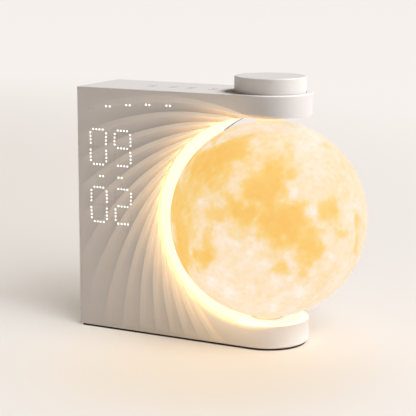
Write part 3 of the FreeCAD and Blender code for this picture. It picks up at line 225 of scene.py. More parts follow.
def make_world():
    """A dim warm sky, in whose place the camera sees a plain backdrop."""
    world = bpy.data.worlds.new("studio")
    bpy.context.scene.world = world
    world.use_nodes = True
    tree = world.node_tree
    sky = tree.nodes["Background"]
    sky.inputs["Color"].default_value = (*SKY_COLOUR, 1)
    sky.inputs["Strength"].default_value = SKY_STRENGTH
    backdrop = tree.nodes.new("ShaderNodeBackground")
    backdrop.inputs["Color"].default_value = (*BACKDROP_COLOUR, 1)
    path = tree.nodes.new("ShaderNodeLightPath")
    mix = tree.nodes.new("ShaderNodeMixShader")
    tree.links.new(path.outputs["Is Camera Ray"], mix.inputs["Fac"])
    tree.links.new(sky.outputs["Background"], mix.inputs[1])
    tree.links.new(backdrop.outputs["Background"], mix.inputs[2])
    tree.links.new(mix.outputs["Shader"], tree.nodes["World Output"].inputs["Surface"])


def floor_material():
    """Pale paper with painted light: painted shade around a place left of the clock that lifts further away, and a
    painted warm shade just before the clock for the clock's shadow with the globe's glow in it.
    """
    material = finish("floor", FLOOR_COLOUR, 0.7, grain=2.0, depth=0.02, mottle=0.01)
    tree = material.node_tree
    # Painted shade: darker near a place left of the clock, lighter away from it.
    far = remap(tree, distance_from(tree, FLOOR_PAINTED_SHADE_PLACE), *FLOOR_PAINTED_SHADE_REACH, curve="SMOOTHSTEP")
    painted_shade_paper = shades(tree, far, linear(FLOOR_COLOUR), linear(FLOOR_UNSHADED_COLOUR))
    # Painted warm shade just before the clock, for its shadow with the globe's glow in it.
    away = remap(tree, distance_from(tree, FLOOR_PAINTED_WARM_SHADE_PLACE), *FLOOR_PAINTED_WARM_SHADE_REACH, curve="SMOOTHSTEP")
    painted_warm_shade_paper = shades(tree, away, linear(FLOOR_PAINTED_WARM_SHADE_COLOUR), painted_shade_paper)
    tree.links.new(painted_warm_shade_paper, tree.nodes["Principled BSDF"].inputs["Base Color"])
    return material


def make_floor():
    mesh = bpy.data.meshes.new("floor")
    corners = [(-1, -1), (1, -1), (1, 1), (-1, 1)]
    mesh.from_pydata([(x * FLOOR_REACH, y * FLOOR_REACH, 0) for x, y in corners], [], [(0, 1, 2, 3)])
    floor = bpy.data.objects.new("floor", mesh)
    bpy.context.scene.collection.objects.link(floor)
    mesh.materials.append(floor_material())
    return floor


# ---------------------------------------------------------------- materials
SHELL_COLOUR = (224, 219, 215)
ROUGHNESS_DRIFT = 0.05
USUAL_NOISE = (0.3, 0.7)
# Numbers of the sockets of a mix node that mixes colours.
MIX_FACTOR = 0
MIX_COLOURS = (6, 7)
MIX_RESULT = 2


def put(tree, kind, **values):
    """Adds a node. Names of its own settings are set on it, the others on its sockets."""
    node = tree.nodes.new(kind)
    for key, value in values.items():
        if key.islower():
            setattr(node, key, value)
        else:
            node.inputs[key.replace("_", " ")].default_value = value
    return node


def speckle(tree, size, detail=3.0, roughness=0.55):
    """Noise in the object's own space. Its size is in mm."""
    place = put(tree, "ShaderNodeTexCoord")
    noise = put(tree, "ShaderNodeTexNoise", Scale=1 / (size * MM), Detail=detail, Roughness=roughness)
    tree.links.new(place.outputs["Object"], noise.inputs["Vector"])
    return noise.outputs["Fac"]


def distance_from(tree, place):
    """How far a point is from a place in the object's own space, in metres."""
    here = put(tree, "ShaderNodeTexCoord")
    reach = put(tree, "ShaderNodeVectorMath", operation="DISTANCE")
    tree.links.new(here.outputs["Object"], reach.inputs[0])
    reach.inputs[1].default_value = place
    return reach.outputs["Value"]


def remap(tree, value, start, end, low=0.0, high=1.0, curve="LINEAR"):
    """Takes start to low and end to high, and stays between these."""
    span = put(
        tree, "ShaderNodeMapRange", interpolation_type=curve, From_Min=start, From_Max=end, To_Min=low, To_Max=high
    )
    tree.links.new(value, span.inputs["Value"])
    return span.outputs["Result"]


def spread(tree, value, low, high):
    """Maps noise from its usual range to low and high."""
    return remap(tree, value, *USUAL_NOISE, low, high)


def shades(tree, factor, *colours):
    """Mixes two colours. Each is linear light or another node's output."""
    mix = put(tree, "ShaderNodeMix", data_type="RGBA")
    for number, colour in zip(MIX_COLOURS, colours):
        if isinstance(colour, bpy.types.NodeSocket):
            tree.links.new(colour, mix.inputs[number])
        else:
            mix.inputs[number].default_value = (*colour, 1)
    tree.links.new(factor, mix.inputs[MIX_FACTOR])
    return mix.outputs[MIX_RESULT]


def relief(tree, shader, height, depth):
    bump = put(tree, "ShaderNodeBump", Strength=1.0, Distance=depth * MM)
    tree.links.new(height, bump.inputs["Height"])
    tree.links.new(bump.outputs["Normal"], shader.inputs["Normal"])


def finish(name, colour, rough, metal=0.0, grain=0.5, depth=0.01, mottle=0.03, patch=14.0, coat=0.0):
    """A surface with a soft colour drift, uneven roughness and a fine grain. Grain and patch are in mm."""
    material = bpy.data.materials.new(name)
    material.use_nodes = True
    tree = material.node_tree
    shader = tree.nodes["Principled BSDF"]
    base = linear(colour)
    drift = speckle(tree, patch)
    dark = tuple(channel * (1 - mottle) for channel in base)
    light = tuple(min(1.0, channel * (1 + mottle)) for channel in base)
    tree.links.new(shades(tree, drift, dark, light), shader.inputs["Base Color"])
    fine = speckle(tree, grain)
    uneven = spread(tree, fine, rough - ROUGHNESS_DRIFT, rough + ROUGHNESS_DRIFT)
    tree.links.new(uneven, shader.inputs["Roughness"])
    shader.inputs["Metallic"].default_value = metal
    shader.inputs["Coat Weight"].default_value = coat
    relief(tree, shader, fine, depth)
    return material


def glow(material, colour, strength, mottle=0.04, patch=9.0):
    """Gives a surface a light of its own, a little uneven."""
    tree = material.node_tree
    shader = tree.nodes["Principled BSDF"]
    light = linear(colour)
    dim = tuple(channel * (1 - mottle) for channel in light)
    tree.links.new(shades(tree, speckle(tree, patch), dim, light), shader.inputs["Emission Color"])
    shader.inputs["Emission Strength"].default_value = strength
    return material


# ---------------------------------------------------------------- helpers for pieces
HASH_AXES = (73856093, 19349663, 83492791)
HASH_SEED = 7919
HASH_STEPS = (1274126177, 2246822519)
HASH_BITS = 0xFFFFFFFF
HASH_HALF = 32767.5
SEED_STEP = 17.31


def piece(name, points, faces, material, body):
    """A smooth mesh of the scene's own, in metres, that rides on a body."""
    mesh = bpy.data.meshes.new(name)
    mesh.from_pydata([tuple(p) for p in points], [], faces)
    mesh.polygons.foreach_set("use_smooth", [True] * len(mesh.polygons))
    mesh.materials.append(material)
    mesh.update()
    item = bpy.data.objects.new(name, mesh)
    bpy.context.scene.collection.objects.link(item)
    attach(item, body)
    return item


def dress(names, material):
    """Gives CAD nodes a material."""
    for name in names:
        node = NODES[name]
        if not node.material_slots:
            node.data.materials.append(material)
        for place in node.material_slots:
            place.material = material


def noise(points, scale, seed):
    """Smooth random values from -1 to 1."""
    spots = points * scale + seed * SEED_STEP
    cell = np.floor(spots).astype(np.int64)
    part = spots - cell
    ease = part * part * (3 - 2 * part)
    total = np.zeros(len(points))
    for corner in itertools.product((0, 1), repeat=3):
        key = cell + np.array(corner)
        code = key[:, 0] * HASH_AXES[0] ^ key[:, 1] * HASH_AXES[1] ^ key[:, 2] * HASH_AXES[2] ^ seed * HASH_SEED
        code = (code & HASH_BITS) * HASH_STEPS[0] & HASH_BITS
        code = ((code >> 15) ^ code) * HASH_STEPS[1] & HASH_BITS
        value = (code >> 16) / HASH_HALF - 1
        weight = np.ones(len(points))
        for axis in range(3):
            weight *= ease[:, axis] if corner[axis] else 1 - ease[:, axis]
        total += value * weight
    return total


def fractal(points, scale, seed, octaves):
    """Noise in octaves, each twice as fine and half as strong as the one before."""
    total = np.zeros(len(points))
    weight = 1.0
    for octave in range(octaves):
        total += weight * noise(points, scale * 2 ** octave, seed + octave)
        weight *= 0.5
    return total / (2 - 2 * weight)


def ease_between(start, end, value):
    """0 up to start and 1 from end on, with a soft step between."""
    share = np.clip((value - start) / (end - start), 0, 1)
    return share * share * (3 - 2 * share)


# ---------------------------------------------------------------- the fins of the front
FIN_COUNT = 15
FIN_SWEEP = 181.0
FIN_AWAY = 124.3
FIN_FIRST_ANGLE = 242.6
FIN_PITCH = 9.645
FIN_RIM = 61.13
FIN_FADE = 136.0
FIN_DEPTH = 1.9
FIN_CREST_DROP = 0.15
FIN_BORDER = 0.9
FIN_BORDER_RAMP = 3.5
FIN_SOFT_EDGE = 4.0
FIN_SCOOP = 1.35
FIN_LIFT = 0.02
FIN_SUNK = 0.35
FIN_SETBACK = 0.004
FIN_SIDE_INSET = 0.4
FIN_BACK = 0.1
FIN_SHARP_ANGLE = 30.0
FIN_ROWS = 64
FIN_COLUMNS = 20
# How far from the bay's rim the painted glow reaches on the plastic, and the power by which it fades. The painted
# glow stands in for the light of the globe and the bay falling on the front near the rim.
FIN_PAINTED_GLOW = (21.0, 2.0)
SHELL_PAINTED_GLOW = (2.8, 1.3)
PAINTED_RIM_GLOW_COLOUR = (200, 150, 78)
PAINTED_RIM_GLOW_STRENGTH = 1.0


def fin_levels(radius, share, inward):
    """Depth behind the front, in mm, of the carved solid and of the rounded scallop that lies on it."""
    fall = ((radius - FIN_RIM) / (FIN_FADE - FIN_RIM)) ** 2
    low = FIN_DEPTH * (1 - fall)
    crest = FIN_CREST_DROP * (1 - 2 * fall)
    carved = np.minimum(crest + share * (low - crest), inward * FIN_DEPTH / FIN_BORDER_RAMP)
    carved = np.maximum(carved, 0)
    scallop = np.maximum(crest + (low - crest) * FIN_SCOOP * share * (1 - share), 0)
    scallop = scallop * ease_between(0, FIN_SOFT_EDGE, inward) + FIN_SETBACK
    seen = carved > FIN_LIFT + FIN_SETBACK
    return carved, np.where(seen, np.minimum(scallop, carved - FIN_LIFT), carved + FIN_SUNK), seen


def painted_glow_plastic(name, glow_reach, glow_power):
    """The shell's plastic, with a painted warm glow near the bay's rim that stands in for the light of the globe
    and the bay falling there.
    """
    material = finish(name, SHELL_COLOUR, 0.5, grain=0.35, depth=0.012, mottle=0.015)
    tree = material.node_tree
    shader = tree.nodes["Principled BSDF"]
    away = distance_from(tree, (0.0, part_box("main_shell")[0].y, BAY_HEIGHT * MM))
    fade = put(tree, "ShaderNodeMath", operation="POWER")
    tree.links.new(remap(tree, away, FIN_RIM * MM, (FIN_RIM + glow_reach) * MM, 1.0, 0.0), fade.inputs[0])
    fade.inputs[1].default_value = glow_power
    light = shades(tree, fade.outputs["Value"], (0.0, 0.0, 0.0), linear(PAINTED_RIM_GLOW_COLOUR))
    tree.links.new(light, shader.inputs["Emission Color"])
    shader.inputs["Emission Strength"].default_value = PAINTED_RIM_GLOW_STRENGTH
    return material


def make_fins(material):
    """Rounds each carved fin into a scallop: it falls from its crest and rises again to the next one."""
    low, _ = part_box("main_shell")
    points = []
    faces = []
    for fin in range(FIN_COUNT):
        radius, share = np.meshgrid(
            np.linspace(FIN_RIM, FIN_FADE, FIN_ROWS), np.linspace(0, 1, FIN_COLUMNS), indexing="ij"
        )
        reach = (radius ** 2 + FIN_AWAY ** 2 - FIN_SWEEP ** 2) / (2 * radius * FIN_AWAY)
        angle = np.radians(FIN_FIRST_ANGLE) - np.arccos(reach) + np.radians((fin + share) * FIN_PITCH)
        across = radius * np.cos(angle)
        up = BAY_HEIGHT + radius * np.sin(angle)
        inward = np.minimum(across - low.x / MM, up - low.z / MM) - FIN_BORDER
        carved, top, seen = fin_levels(radius, share, inward)
        across = np.maximum(across, low.x / MM + FIN_SIDE_INSET)
        up = np.maximum(up, low.z / MM + FIN_SIDE_INSET)
        used = {}
        edges = {}
        for row, column in itertools.product(range(FIN_ROWS - 1), range(FIN_COLUMNS - 1)):
            quad = [(row, column), (row, column + 1), (row + 1, column + 1), (row + 1, column)]
            if not any(seen[spot] for spot in quad):
                continue
            for spot in quad:
                if spot not in used:
                    used[spot] = len(points)
                    for level in (top[spot], carved[spot] + FIN_SUNK + FIN_BACK):
                        points.append(Vector((across[spot], low.y / MM + level, up[spot])) * MM)
            front = [used[spot] for spot in quad]
            faces.append(tuple(front))
            faces.append(tuple(index + 1 for index in reversed(front)))
            for start, end in zip(front, front[1:] + front[:1]):
                if (end, start) in edges:
                    del edges[end, start]
                else:
                    edges[start, end] = True
        faces.extend((end, start, start + 1, end + 1) for start, end in edges)
    fins = piece("front_fins", points, faces, material, "housing")
    fins.data.set_sharp_from_angle(angle=math.radians(FIN_SHARP_ANGLE))
    return fins


# ---------------------------------------------------------------- the moon globe
GLOBE_COLUMNS = 480
GLOBE_ROWS = 240
GLOBE_INNER_ROWS = 16
GLOBE_WALL = 1.8 * MM
GLOBE_HOLE = 7.05 * MM
GLOBE_SEED = 11
GLOBE_COLOUR = (76, 66, 52)
GLOBE_GLOW = 1.0
GLOBE_GRAIN = 1.1
GLOBE_GRAIN_TONE = 0.045
INSIDE_TONE = 0.5
# Colours of the glow, from tone 0, a dark plain, to tone 1, a bright highland.
GLOBE_TONES = (
    (0.00, (245, 192, 100)),
    (0.20, (246, 201, 114)),
    (0.45, (247, 212, 145)),
    (0.64, (248, 222, 182)),
    (0.84, (249, 231, 209)),
    (1.00, (250, 239, 224)),
)

# Layers of noise on the globe: strength, scale, seed, octaves.
WARP_ACROSS = (8.0, 7.0, 0, 6)
WARP_DOWN = (8.0, 7.0, 20, 6)
RAGGED_COARSE = (0.50, 6.0, 30, 6)
RAGGED_FINE = (0.22, 24.0, 36, 4)
BACK_PLAINS = (1.0, 1.7, 40, 5)
MOTTLE_COARSE = (0.18, 5.0, 60, 6)
MOTTLE_FINE = (0.18, 24.0, 70, 5)
PLAIN_MOTTLE = (0.16, 13.0, 76, 5)
RELIEF_COARSE = (0.30, 7.0, 80, 5)
RELIEF_FINE = (0.12, 40.0, 90, 3)
CRATER_WOBBLE = (0.10, 22.0, 5, 2)

# Where tones fade in and out, and how much each adds.
LIMB_EDGE = (-0.06, 0.10)
PLAIN_EDGE = (1.55, 0.50)
PLAIN_DEPTH = 0.97
BACK_PLAIN_EDGE = (0.10, 0.34)
BACK_PLAIN_DEPTH = 0.9
BRIGHT_WARP = 0.25
BRIGHT_CORE_EDGE = (1.4, 0.5)
BRIGHT_CORE = 0.75
BRIGHT_HALO = 0.45
RAY_COUNT = 9
RAY_DEPTH = 0.4
RAY_WARP = 0.4
BASE_TONE = 0.73
PLAIN_TONE = 0.66
BRIGHT_TONE = 0.34
MOTTLE_ON_HIGHLAND = 1.15
MOTTLE_LOST_ON_PLAIN = 0.55

# The relief, as shares of the room it has under the ball's skin.
RELIEF_ROOM = 0.42 * MM
RELIEF_LOW = -1.5
RELIEF_HIGH = 1.0
PLAIN_RELIEF = -0.30
PLAIN_SMOOTHING = 0.7

# Craters. Their radius is an angle in radians; places on them are shares of that radius.
CRATER_COUNT = 520
CRATER_SMALLEST = 0.011
CRATER_LARGEST = 0.05
CRATER_FALLOFF = -0.55
CRATER_REACH = 1.9
CRATER_LEAST_DEPTH = 0.35
CRATER_FLOODED = 0.5
BOWL_EDGE = (1.0, 0.45)
BOWL_DEPTH = 0.55
BOWL_TONE = 0.05
RIM_PLACE = 1.02
RIM_WIDTH = 0.2
RIM_HEIGHT = 0.5
RIM_TONE = 0.04
BRIGHT_RIM_AGE = 0.8
BRIGHT_RIM_TONE = 0.06
FRESH_AGE = 0.93
FRESH_EDGE = (1.0, 0.1)
FRESH_TONE = 0.22
FRESH_HALO_EDGE = (CRATER_REACH, 0.8)
FRESH_HALO_TONE = 0.06

# Dark plains on the side that faces the camera, as photo pixels:
# across, down, half width, half height, tilt in degrees, strength.
PLAINS = [
    (222, 153, 30, 12, -18, 0.95),
    (205, 163, 20, 12, -30, 0.90),
    (219, 179, 14, 10, -35, 0.55),
    (267, 186, 18, 19, 0, 1.00),
    (258, 190, 14, 12, -20, 0.80),
    (271, 225, 15, 15, 0, 1.00),
    (294, 219, 13, 16, 0, 1.00),
    (282, 229, 16, 12, 0, 0.90),
    (238, 208, 14, 9, 15, 0.85),
    (246, 214, 9, 6, 0, 0.70),
    (215, 214, 10, 8, 0, 0.60),
    (204, 259, 8, 12, 0, 0.90),
    (206, 240, 6, 8, 0, 0.60),
    (329, 212, 11, 11, 0, 0.78),
    (311, 246, 12, 12, -25, 0.78),
    (304, 262, 9, 6, -30, 0.60),
    (280, 266, 8, 9, 0, 0.66),
    (357, 218, 4, 9, 0, 0.62),
    (357, 243, 3, 12, 0, 0.45),
    (289, 148, 9, 6, 20, 0.42),
    (268, 135, 26, 6, 8, 0.20),
    (292, 173, 6, 5, 0, 0.42),
    (324, 145, 5, 4, 0, 0.40),
    (341, 231, 6, 5, 0, 0.40),
    (305, 275, 5, 4, 0, 0.45),
    # These two narrow plains along the left limb are painted limb shade: they darken the globe's left edge.
    (182, 248, 8, 26, 12, 0.80),
    (176, 206, 8, 30, -4, 0.80),
    (194, 184, 14, 14, 0, 0.45),
    (236, 228, 10, 8, 0, 0.35),
    (212, 172, 30, 30, -20, 0.24),
    (196, 222, 16, 40, 8, 0.26),
    (252, 206, 30, 14, 8, 0.30),
    (288, 236, 34, 28, 0, 0.24),
    (272, 160, 30, 12, 10, 0.20),
    (262, 182, 22, 22, 35, 0.22),
    (284, 210, 24, 9, 12, 0.40),
    (300, 232, 14, 10, 50, 0.40),
]

# Bright craters and highlands there: across, down, radius, halo radius, strength.
BRIGHTS = [
    (200, 201, 3.0, 12, 1.00),
    (246, 204, 2.6, 7, 0.85),
    (257, 203, 2.6, 7, 0.85),
    (312, 213, 5.0, 11, 0.75),
    (283, 237, 2.5, 6, 0.70),
    (236, 244, 1.6, 5, 0.55),
    (249, 253, 3.0, 8, 0.65),
    (263, 263, 2.5, 7, 0.45),
    (293, 191, 4.0, 8, 0.60),
    (287, 255, 3.5, 8, 0.55),
    (299, 292, 6.0, 14, 0.60),
    (273, 307, 4.0, 10, 0.50),
    (212, 283, 7.0, 16, 0.60),
    (228, 293, 6.0, 14, 0.55),
    (220, 176, 1.6, 5, 0.50),
    (339, 190, 2.0, 8, 0.45),
    (330, 255, 3.0, 9, 0.50),
    (258, 243, 7.0, 14, 0.45),
    # The spots at (306, 134), (251, 139) and (262, 128) are broad and soft, on the top and upper right of the
    # globe: painted highlight where the key falls.
    (306, 134, 16.0, 44, 0.40),
    (250, 290, 6.0, 15, 0.45),
    (235, 190, 4.0, 11, 0.40),
    (251, 139, 4.0, 12, 0.35),
    (262, 128, 8.0, 24, 0.30),
]


def layer(points, strength, scale, seed, octaves):
    return strength * fractal(points, scale, GLOBE_SEED + seed, octaves)


def globe_grid(radius):
    """Rings of points from the lower pole hole up the outside to the upper one, and back inside."""
    inner = radius - GLOBE_WALL
    edge = math.asin(GLOBE_HOLE / radius)
    edge_in = math.asin(GLOBE_HOLE / inner)
    outside = np.linspace(edge, math.pi - edge, GLOBE_ROWS)
    inside = np.linspace(math.pi - edge_in, edge_in, GLOBE_INNER_ROWS)
    polar = np.concatenate([outside, inside])
    reach = np.concatenate([np.full(GLOBE_ROWS, radius), np.full(GLOBE_INNER_ROWS, inner)])
    turn = np.arange(GLOBE_COLUMNS) * 2 * math.pi / GLOBE_COLUMNS
    across = np.sin(polar)[:, None] * np.cos(turn)[None]
    along = np.sin(polar)[:, None] * np.sin(turn)[None]
    up = -np.cos(polar)[:, None] * np.ones_like(turn)[None]
    ways = np.stack([across, along, up], axis=-1).reshape(-1, 3)
    reach = np.repeat(reach, GLOBE_COLUMNS)
    rows = GLOBE_ROWS + GLOBE_INNER_ROWS
    index = np.arange(rows * GLOBE_COLUMNS).reshape(rows, GLOBE_COLUMNS)
    above = np.roll(index, -1, axis=0)
    quads = np.stack([index, np.roll(index, -1, axis=1), np.roll(above, -1, axis=1), above], axis=-1)
    outer = np.repeat(np.arange(rows) < GLOBE_ROWS, GLOBE_COLUMNS)
    return ways, reach, quads.reshape(-1, 4), outer


def photo_pixels(points, camera):
    """Where points are in the photograph, in pixels. The middle of its first pixel is 0, 0."""
    turn = np.array(camera.rotation_quaternion.to_matrix())
    local = (points - np.array(camera.location)) @ turn
    focal = CAMERA_LENS / CAMERA_SENSOR * PHOTO_WIDTH
    across = PHOTO_WIDTH / 2 + focal * local[:, 0] / -local[:, 2] - 0.5
    down = PHOTO_WIDTH / 2 - focal * local[:, 1] / -local[:, 2] - 0.5
    return across, down


def globe_tone(ways, centre, radius, camera):
    """The tone, 0 a dark plain and 1 a bright highland, and how far each point belongs to a plain."""
    points = np.array(centre) + ways * radius
    across, down = photo_pixels(points, camera)
    toward = np.array((camera.location - centre).normalized())
    facing = ease_between(*LIMB_EDGE, ways @ toward)
    warp_x = layer(ways, *WARP_ACROSS)
    warp_y = layer(ways, *WARP_DOWN)
    ragged = 1 + layer(ways, *RAGGED_COARSE) + layer(ways, *RAGGED_FINE)
    light = np.ones(len(ways))
    for x, y, wide, high, tilt, strength in PLAINS:
        angle = math.radians(tilt)
        dx = across + warp_x - x
        dy = down + warp_y - y
        along = (dx * math.cos(angle) + dy * math.sin(angle)) / wide
        side = (-dx * math.sin(angle) + dy * math.cos(angle)) / high
        share = np.sqrt(along ** 2 + side ** 2) * ragged
        light *= 1 - strength * ease_between(*PLAIN_EDGE, share) * PLAIN_DEPTH
    seen = 1 - light
    far = ease_between(*BACK_PLAIN_EDGE, layer(ways, *BACK_PLAINS)) * BACK_PLAIN_DEPTH
    plain = seen * facing + far * (1 - facing)
    bright = np.zeros(len(ways))
    for x, y, core, halo, strength in BRIGHTS:
        dx = across + BRIGHT_WARP * warp_x - x
        dy = down + BRIGHT_WARP * warp_y - y
        gap = np.sqrt(dx ** 2 + dy ** 2)
        rays = 1 - RAY_DEPTH + RAY_DEPTH * np.sin(RAY_COUNT * np.arctan2(dy, dx) + RAY_WARP * warp_x)
        middle = ease_between(*(core * edge for edge in BRIGHT_CORE_EDGE), gap)
        bright += strength * facing * (BRIGHT_CORE * middle + BRIGHT_HALO * rays * ease_between(halo, core, gap))
    mottle = layer(ways, *MOTTLE_COARSE) + layer(ways, *MOTTLE_FINE)
    tone = BASE_TONE - PLAIN_TONE * plain + BRIGHT_TONE * bright
    tone += mottle * (MOTTLE_ON_HIGHLAND - MOTTLE_LOST_ON_PLAIN * plain)
    tone += plain * layer(ways, *PLAIN_MOTTLE)
    return tone, plain


def add_craters(skin, plain, height, tone):
    """Presses craters into the relief and lightens their rims. The youngest are bright all over."""
    rng = np.random.default_rng(GLOBE_SEED)
    axes = rng.normal(size=(CRATER_COUNT, 3))
    axes /= np.linalg.norm(axes, axis=1)[:, None]
    sizes = CRATER_SMALLEST * (1 - rng.random(CRATER_COUNT)) ** CRATER_FALLOFF
    sizes = np.minimum(sizes, CRATER_LARGEST)
    ages = rng.random(CRATER_COUNT)
    for axis, size, age in zip(axes, sizes, ages):
        near = np.nonzero(skin @ axis > math.cos(CRATER_REACH * size))[0]
        if not len(near):
            continue
        gap = np.arccos(np.clip(skin[near] @ axis, -1, 1)) / size
        gap = gap * (1 + layer(skin[near], *CRATER_WOBBLE))
        bowl = -ease_between(*BOWL_EDGE, gap)
        rim = np.exp(-((gap - RIM_PLACE) / RIM_WIDTH) ** 2)
        deep = min(1.0, CRATER_LEAST_DEPTH + size / CRATER_LARGEST)
        soft = 1 - CRATER_FLOODED * plain[near]
        height[near] += deep * soft * (BOWL_DEPTH * bowl + RIM_HEIGHT * rim)
        rim_tone = RIM_TONE + BRIGHT_RIM_TONE * (age > BRIGHT_RIM_AGE)
        tone[near] += soft * (BOWL_TONE * bowl + rim_tone * rim)
        if age > FRESH_AGE:
            tone[near] += FRESH_TONE * ease_between(*FRESH_EDGE, gap)
            tone[near] += FRESH_HALO_TONE * ease_between(*FRESH_HALO_EDGE, gap)


def moon_material():
    """Dark plastic that glows in the tone each point has, with a fine grain."""
    material = finish("moon_print", GLOBE_COLOUR, 0.6, grain=0.5, depth=0.05, mottle=0.02)
    tree = material.node_tree
    shader = tree.nodes["Principled BSDF"]
    shade = put(tree, "ShaderNodeAttribute", attribute_name="tone")
    fine = speckle(tree, GLOBE_GRAIN, detail=4.0, roughness=0.7)
    add = put(tree, "ShaderNodeMath", operation="ADD")
    tree.links.new(shade.outputs["Fac"], add.inputs[0])
    tree.links.new(spread(tree, fine, -GLOBE_GRAIN_TONE, GLOBE_GRAIN_TONE), add.inputs[1])
    ramp = put(tree, "ShaderNodeValToRGB")
    while len(ramp.color_ramp.elements) < len(GLOBE_TONES):
        ramp.color_ramp.elements.new(0.5)
    for stop, (place, colour) in zip(ramp.color_ramp.elements, GLOBE_TONES):
        stop.position = place
        stop.color = (*linear(colour), 1)
    tree.links.new(add.outputs["Value"], ramp.inputs["Fac"])
    tree.links.new(ramp.outputs["Color"], shader.inputs["Emission Color"])
    shader.inputs["Emission Strength"].default_value = GLOBE_GLOW
    shader.inputs["Specular IOR Level"].default_value = 0.0
    return material


def make_globe(camera):
    """The same ball as globe_shell, with a moon's relief and tone."""
    low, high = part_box("globe_shell")
    radius = (high.x - low.x) / 2
    centre = Vector(((low.x + high.x) / 2, (low.y + high.y) / 2, (low.z + high.z) / 2))
    ways, reach, quads, outer = globe_grid(radius)
    skin = ways[outer]
    tone, plain = globe_tone(skin, centre, radius, camera)
    height = PLAIN_RELIEF * plain + layer(skin, *RELIEF_COARSE) * (1 - PLAIN_SMOOTHING * plain)
    height += layer(skin, *RELIEF_FINE)
    add_craters(skin, plain, height, tone)
    height = np.clip(height, RELIEF_LOW, RELIEF_HIGH)
    reach[outer] += (height - RELIEF_HIGH) / (RELIEF_HIGH - RELIEF_LOW) * RELIEF_ROOM
    points = np.array(centre) + ways * reach[:, None]
    globe = piece("moon_globe", points, quads.tolist(), moon_material(), "globe")
    values = np.full(len(points), INSIDE_TONE)
    values[outer] = tone
    tones = globe.data.attributes.new("tone", "FLOAT", "POINT")
    tones.data.foreach_set("value", values.astype(np.float32))
    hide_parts("globe_shell")
    return globe


# ---------------------------------------------------------------- the display
DOT_RADIUS = 0.66
DOT_RISE = 0.12
DOT_SINK = 0.10
DOT_RINGS = 4
DOT_SIDES = 16
DOT_GLOW = 1.35
HOLE_RADIUS = 0.42
HOLE_RISE = 0.02
TOUCH_MARKS = (-76.5, -61.9, -50.4, -35.7)
TOUCH_MARK_ACROSS = (-1.2, 1.2)
TOUCH_MARK_DEEP = (-6.1, -4.4, -2.7, -1.0, 0.7)
TOUCH_MARK_RADIUS = 0.80
TOUCH_MARK_RISE = 0.03
# Where rays start that look for the front and for the top face, in metres.
FRONT_RAY_START = -0.05
TOP_RAY_START = 0.2
# Dots of a digit, from its top left corner: rows, columns and the dots between the corners.
LEFT_DIGIT = -107.6
DIGIT_STEP = 16.8
LINE_TOPS = (124.5, 88.9)
ROWS = (0.0, -10.65, -21.4)
RIGHT_COLUMN = 10.8
ACROSS = (2.1, 4.25, 6.4, 8.55)
UPPER = (-2.2, -4.35, -6.5, -8.6)
LOWER = (-12.8, -14.95, -17.1, -19.25)
COLON_HEIGHT = 95.9
COLON_DOTS = (-101.3, -99.2, -88.2, -86.1)
INDICATOR_DOTS = (
    (-96.4, 138.8), (-94.0, 138.8), (-82.6, 140.2), (-80.3, 140.2),
    (-69.2, 141.1), (-67.0, 141.1), (-55.6, 141.3), (-53.3, 141.3),
)
INDICATOR_HOLES = ((-108.1, 137.0), (-105.8, 137.0))
SEGMENTS = {
    "a": [(x, ROWS[0]) for x in ACROSS],
    "b": [(RIGHT_COLUMN, z) for z in UPPER],
    "c": [(RIGHT_COLUMN, z) for z in LOWER],
    "d": [(x, ROWS[2]) for x in ACROSS],
    "e": [(0.0, z) for z in LOWER],
    "f": [(0.0, z) for z in UPPER],
    "g": [(x, ROWS[1]) for x in ACROSS],
}
LIT = {"0": "abcdef", "9": "abcdfg", "2": "abged"}
READING = ("09", "02")


def dome_points(spots, radius, rise):
    """Shallow round lenses at (place, normal) pairs. Their rims are sunk into the surface."""
    points = []
    faces = []
    for place, normal in spots:
        side = normal.orthogonal().normalized()
        other = normal.cross(side)
        start = len(points)
        points.append(place + normal * rise * MM)
        for ring in range(1, DOT_RINGS + 1):
            share = ring / DOT_RINGS
            out = radius * MM * math.sin(share * math.pi / 2)
            lift = (rise + DOT_SINK) * math.cos(share * math.pi / 2) - DOT_SINK
            for step in range(DOT_SIDES):
                angle = 2 * math.pi * step / DOT_SIDES
                points.append(
                    place + side * out * math.cos(angle) + other * out * math.sin(angle) + normal * lift * MM
                )
        for step in range(DOT_SIDES):
            after = (step + 1) % DOT_SIDES
            faces.append((start, start + 1 + step, start + 1 + after))
            for ring in range(DOT_RINGS - 1):
                near = start + 1 + ring * DOT_SIDES
                far = near + DOT_SIDES
                faces.append((near + step, far + step, far + after, near + after))
    return points, faces


def front_spots(trees, places):
    """Where dots lie on the carved front, and which way its surface faces there."""
    spots = []
    for x, z in places:
        start = Vector((x * MM, FRONT_RAY_START, z * MM))
        hits = [tree.ray_cast(start, Vector((0, 1, 0))) for tree in trees]
        place, normal, _, _ = min((hit for hit in hits if hit[0]), key=lambda hit: hit[3])
        spots.append((place, normal if normal.y <= 0 else -normal))
    return spots


def top_spots(tree):
    """Where the touch marks lie on the top face, and which way it faces there."""
    spots = []
    for x, dx, dy in itertools.product(TOUCH_MARKS, TOUCH_MARK_ACROSS, TOUCH_MARK_DEEP):
        start = Vector(((x + dx) * MM, dy * MM, TOP_RAY_START))
        place, normal, _, _ = tree.ray_cast(start, Vector((0, 0, -1)))
        spots.append((place, normal if normal.z > 0 else -normal))
    return spots


